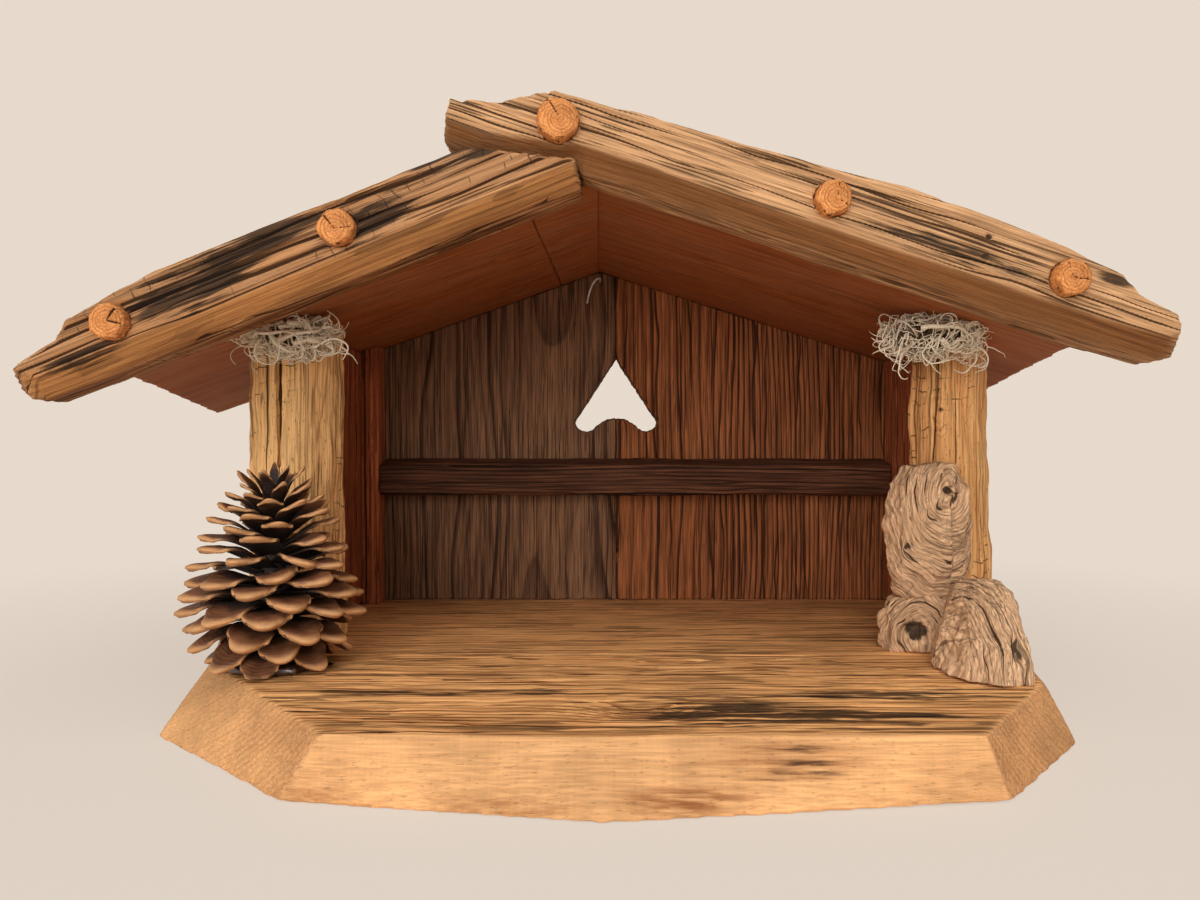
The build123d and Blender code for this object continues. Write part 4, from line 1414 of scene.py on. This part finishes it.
class STABLE_OT_fastenings(bpy.types.Operator):
    """Finishes of the hook, nails, screws and dowels"""

    bl_idname = "stable.fastenings"
    bl_label = "Fastenings"

    # The hook's wire, as shares of the box of its CAD form
    HOOK = (
        (0.92, 1.0, 0.95), (0.92, 0.6, 0.95), (0.92, 0.12, 0.97), (0.84, 0.04, 0.97), (0.62, 0.04, 0.9),
        (0.36, 0.04, 0.66), (0.18, 0.04, 0.34), (0.08, 0.04, 0.03),
    )
    HOOK_RADIUS = 0.42
    HOOK_ROUNDNESS = 2

    def execute(self, context):
        colours = context.scene.stable_colours
        wire = plain_material(
            "hook_wire", linear(238, 234, 226), linear(200, 194, 184), (400,) * 3, roughness=0.4, metallic=0.2
        )
        steel = plain_material(
            "nail_steel", colours.steel, linear(96, 80, 68), (600,) * 3, roughness=0.45, metallic=0.9
        )
        beech = plain_material(
            "dowel_beech", linear(214, 176, 132), linear(186, 142, 98), (300, 90, 300), roughness=0.65
        )
        finished(self.hook(), "ridge_hook", wire)
        for node in ("barge_screws", "back_wall_nails", "rail_nails", "roof_nails", "base_screws"):
            finish_node(node, steel)
        for node in ("base_dowels", "post_dowels"):
            finish_node(node, beech)
        return {"FINISHED"}

    def hook(self):
        """Thin bent wire, in the place of its plain CAD form."""
        low, high = box_of("ridge_hook")
        path = low + (high - low) * np.array(self.HOOK)
        line = new_curve("ridge_hook_wire", self.HOOK_RADIUS, self.HOOK_ROUNDNESS)
        add_strand(line, path, np.ones(len(path)))
        return curve_piece(line, "ridge_hook_wire")


class STABLE_OT_stage(bpy.types.Operator):
    """Pale floor, soft lamps, room light and the camera"""

    bl_idname = "stable.stage"
    bl_label = "Stage"

    AIM = (0, 0, 0.08)
    SENSOR_WIDTH = 36.0
    NEAREST = 0.01
    FLOOR_RADIUS = 6.0
    FLOOR_SIDES = 96
    ROOM_COLOUR = (1.0, 0.97, 0.93)

    def execute(self, context):
        scene = context.scene
        colours, stage = scene.stable_colours, scene.stable_stage
        scene.view_settings.view_transform = "Standard"
        self.floor(colours.backdrop)
        self.room(scene, colours.backdrop, stage.room_light)
        for name, power, size, place in (
            ("key_lamp", stage.key_power, 0.8, (-0.34, -1.12, 0.2)),
            ("top_lamp", stage.top_power, 0.9, (0.1, -0.55, 1.1)),
            ("fill_lamp", stage.fill_power, 0.7, (0.75, -0.9, 0.3)),
        ):
            lamp = bpy.data.lights.new(name, "AREA")
            lamp.energy = power
            lamp.size = size
            aim = Vector(self.AIM) - Vector(place)
            turned = aim.to_track_quat("-Z", "Y").to_matrix().to_4x4()
            new_piece(name, lamp).matrix_world = Matrix.Translation(place) @ turned
        camera = bpy.data.cameras.new("camera")
        camera.lens = stage.camera_lens
        camera.sensor_width = self.SENSOR_WIDTH
        camera.clip_start = self.NEAREST
        scene.camera = new_piece("camera", camera)
        scene.camera.location = (0, -stage.camera_back, stage.camera_height)
        scene.camera.rotation_euler = (math.pi / 2 - stage.camera_drop, 0, 0)
        return {"FINISHED"}

    def floor(self, backdrop):
        """Wide round card that shows as bright as the background away from the part."""
        work = bmesh.new()
        bmesh.ops.create_circle(work, cap_ends=True, radius=self.FLOOR_RADIUS, segments=self.FLOOR_SIDES)
        floor = new_piece("floor", new_mesh("floor", work))
        material, tree, shader = new_material("floor_card")
        place = tree.object_place()
        apart = tree.add("VectorMath", {0: place}, output="Value", operation="LENGTH")
        fibre = tree.noise(place, (700,) * 3, 3.0)
        card = tree.shade(backdrop, tree.step(fibre, 0.3, 0.7, 0.985, 1.015))
        tree.put(shader.inputs["Base Color"], card)
        shader.inputs["Roughness"].default_value = 0.9
        shader.inputs["Specular IOR Level"].default_value = 0.1
        glow = tree.add("Emission", {"Color": backdrop, "Strength": 1.0})
        share = self.seen(tree) * tree.step(apart, 0.16, 0.5, 0.7, 1.0)
        mixed = tree.add("MixShader", {0: share, 1: Value(tree, shader.outputs[0]), 2: glow})
        tree.put(material.node_tree.nodes["Material Output"].inputs[0], mixed)
        floor.data.materials.append(material)

    def seen(self, tree):
        """1 for what the camera, a gloss or a glass sees, and 0 for light on its way."""
        path = tree.node("LightPath").outputs
        rays = ("Is Camera Ray", "Is Glossy Ray", "Is Transmission Ray")
        return tree.most(*(Value(tree, path[ray]) for ray in rays))

    def room(self, scene, backdrop, strength):
        """Even light from all round, with the backdrop's colour where it is seen."""
        world = bpy.data.worlds.new("room")
        world.use_nodes = True
        scene.world = world
        tree = Tree(world.node_tree)
        light = world.node_tree.nodes["Background"]
        tree.put(light.inputs[0], self.ROOM_COLOUR)
        tree.put(light.inputs[1], strength)
        shown = tree.add("Background", {0: backdrop, 1: 1.0})
        mixed = tree.add("MixShader", {0: self.seen(tree), 1: Value(tree, light.outputs[0]), 2: shown})
        tree.put(world.node_tree.nodes["World Output"].inputs[0], mixed)


OPERATORS = (
    STABLE_OT_base,
    STABLE_OT_barges,
    STABLE_OT_roof,
    STABLE_OT_walls,
    STABLE_OT_posts,
    STABLE_OT_pegs,
    STABLE_OT_bark,
    STABLE_OT_cone,
    STABLE_OT_lichen,
    STABLE_OT_fastenings,
    STABLE_OT_stage,
)


class STABLE_PT_panel(bpy.types.Panel):
    """Builds the stable's pieces and its stage"""

    bl_idname = "STABLE_PT_panel"
    bl_label = "Stable"
    bl_space_type = "VIEW_3D"
    bl_region_type = "UI"
    bl_category = "Stable"

    def draw(self, context):
        layout = self.layout
        for operator in OPERATORS:
            layout.operator(operator.bl_idname)
        for settings in (context.scene.stable_sizes, context.scene.stable_stage, context.scene.stable_colours):
            box = layout.box()
            for name in settings.__annotations__:
                box.prop(settings, name)


SETTINGS = {"stable_colours": StableColours, "stable_sizes": StableSizes, "stable_stage": StableStage}


def register():
    for settings in SETTINGS.values():
        bpy.utils.register_class(settings)
    for name, settings in SETTINGS.items():
        setattr(bpy.types.Scene, name, PointerProperty(type=settings))
    for shown in (*OPERATORS, STABLE_PT_panel):
        bpy.utils.register_class(shown)


def unregister():
    for shown in (STABLE_PT_panel, *reversed(OPERATORS)):
        bpy.utils.unregister_class(shown)
    for name, settings in SETTINGS.items():
        delattr(bpy.types.Scene, name)
        bpy.utils.unregister_class(settings)


def main():
    register()
    for operator in OPERATORS:
        group, name = operator.bl_idname.split(".")
        getattr(getattr(bpy.ops, group), name)()


if __name__ == "__main__":
    main()
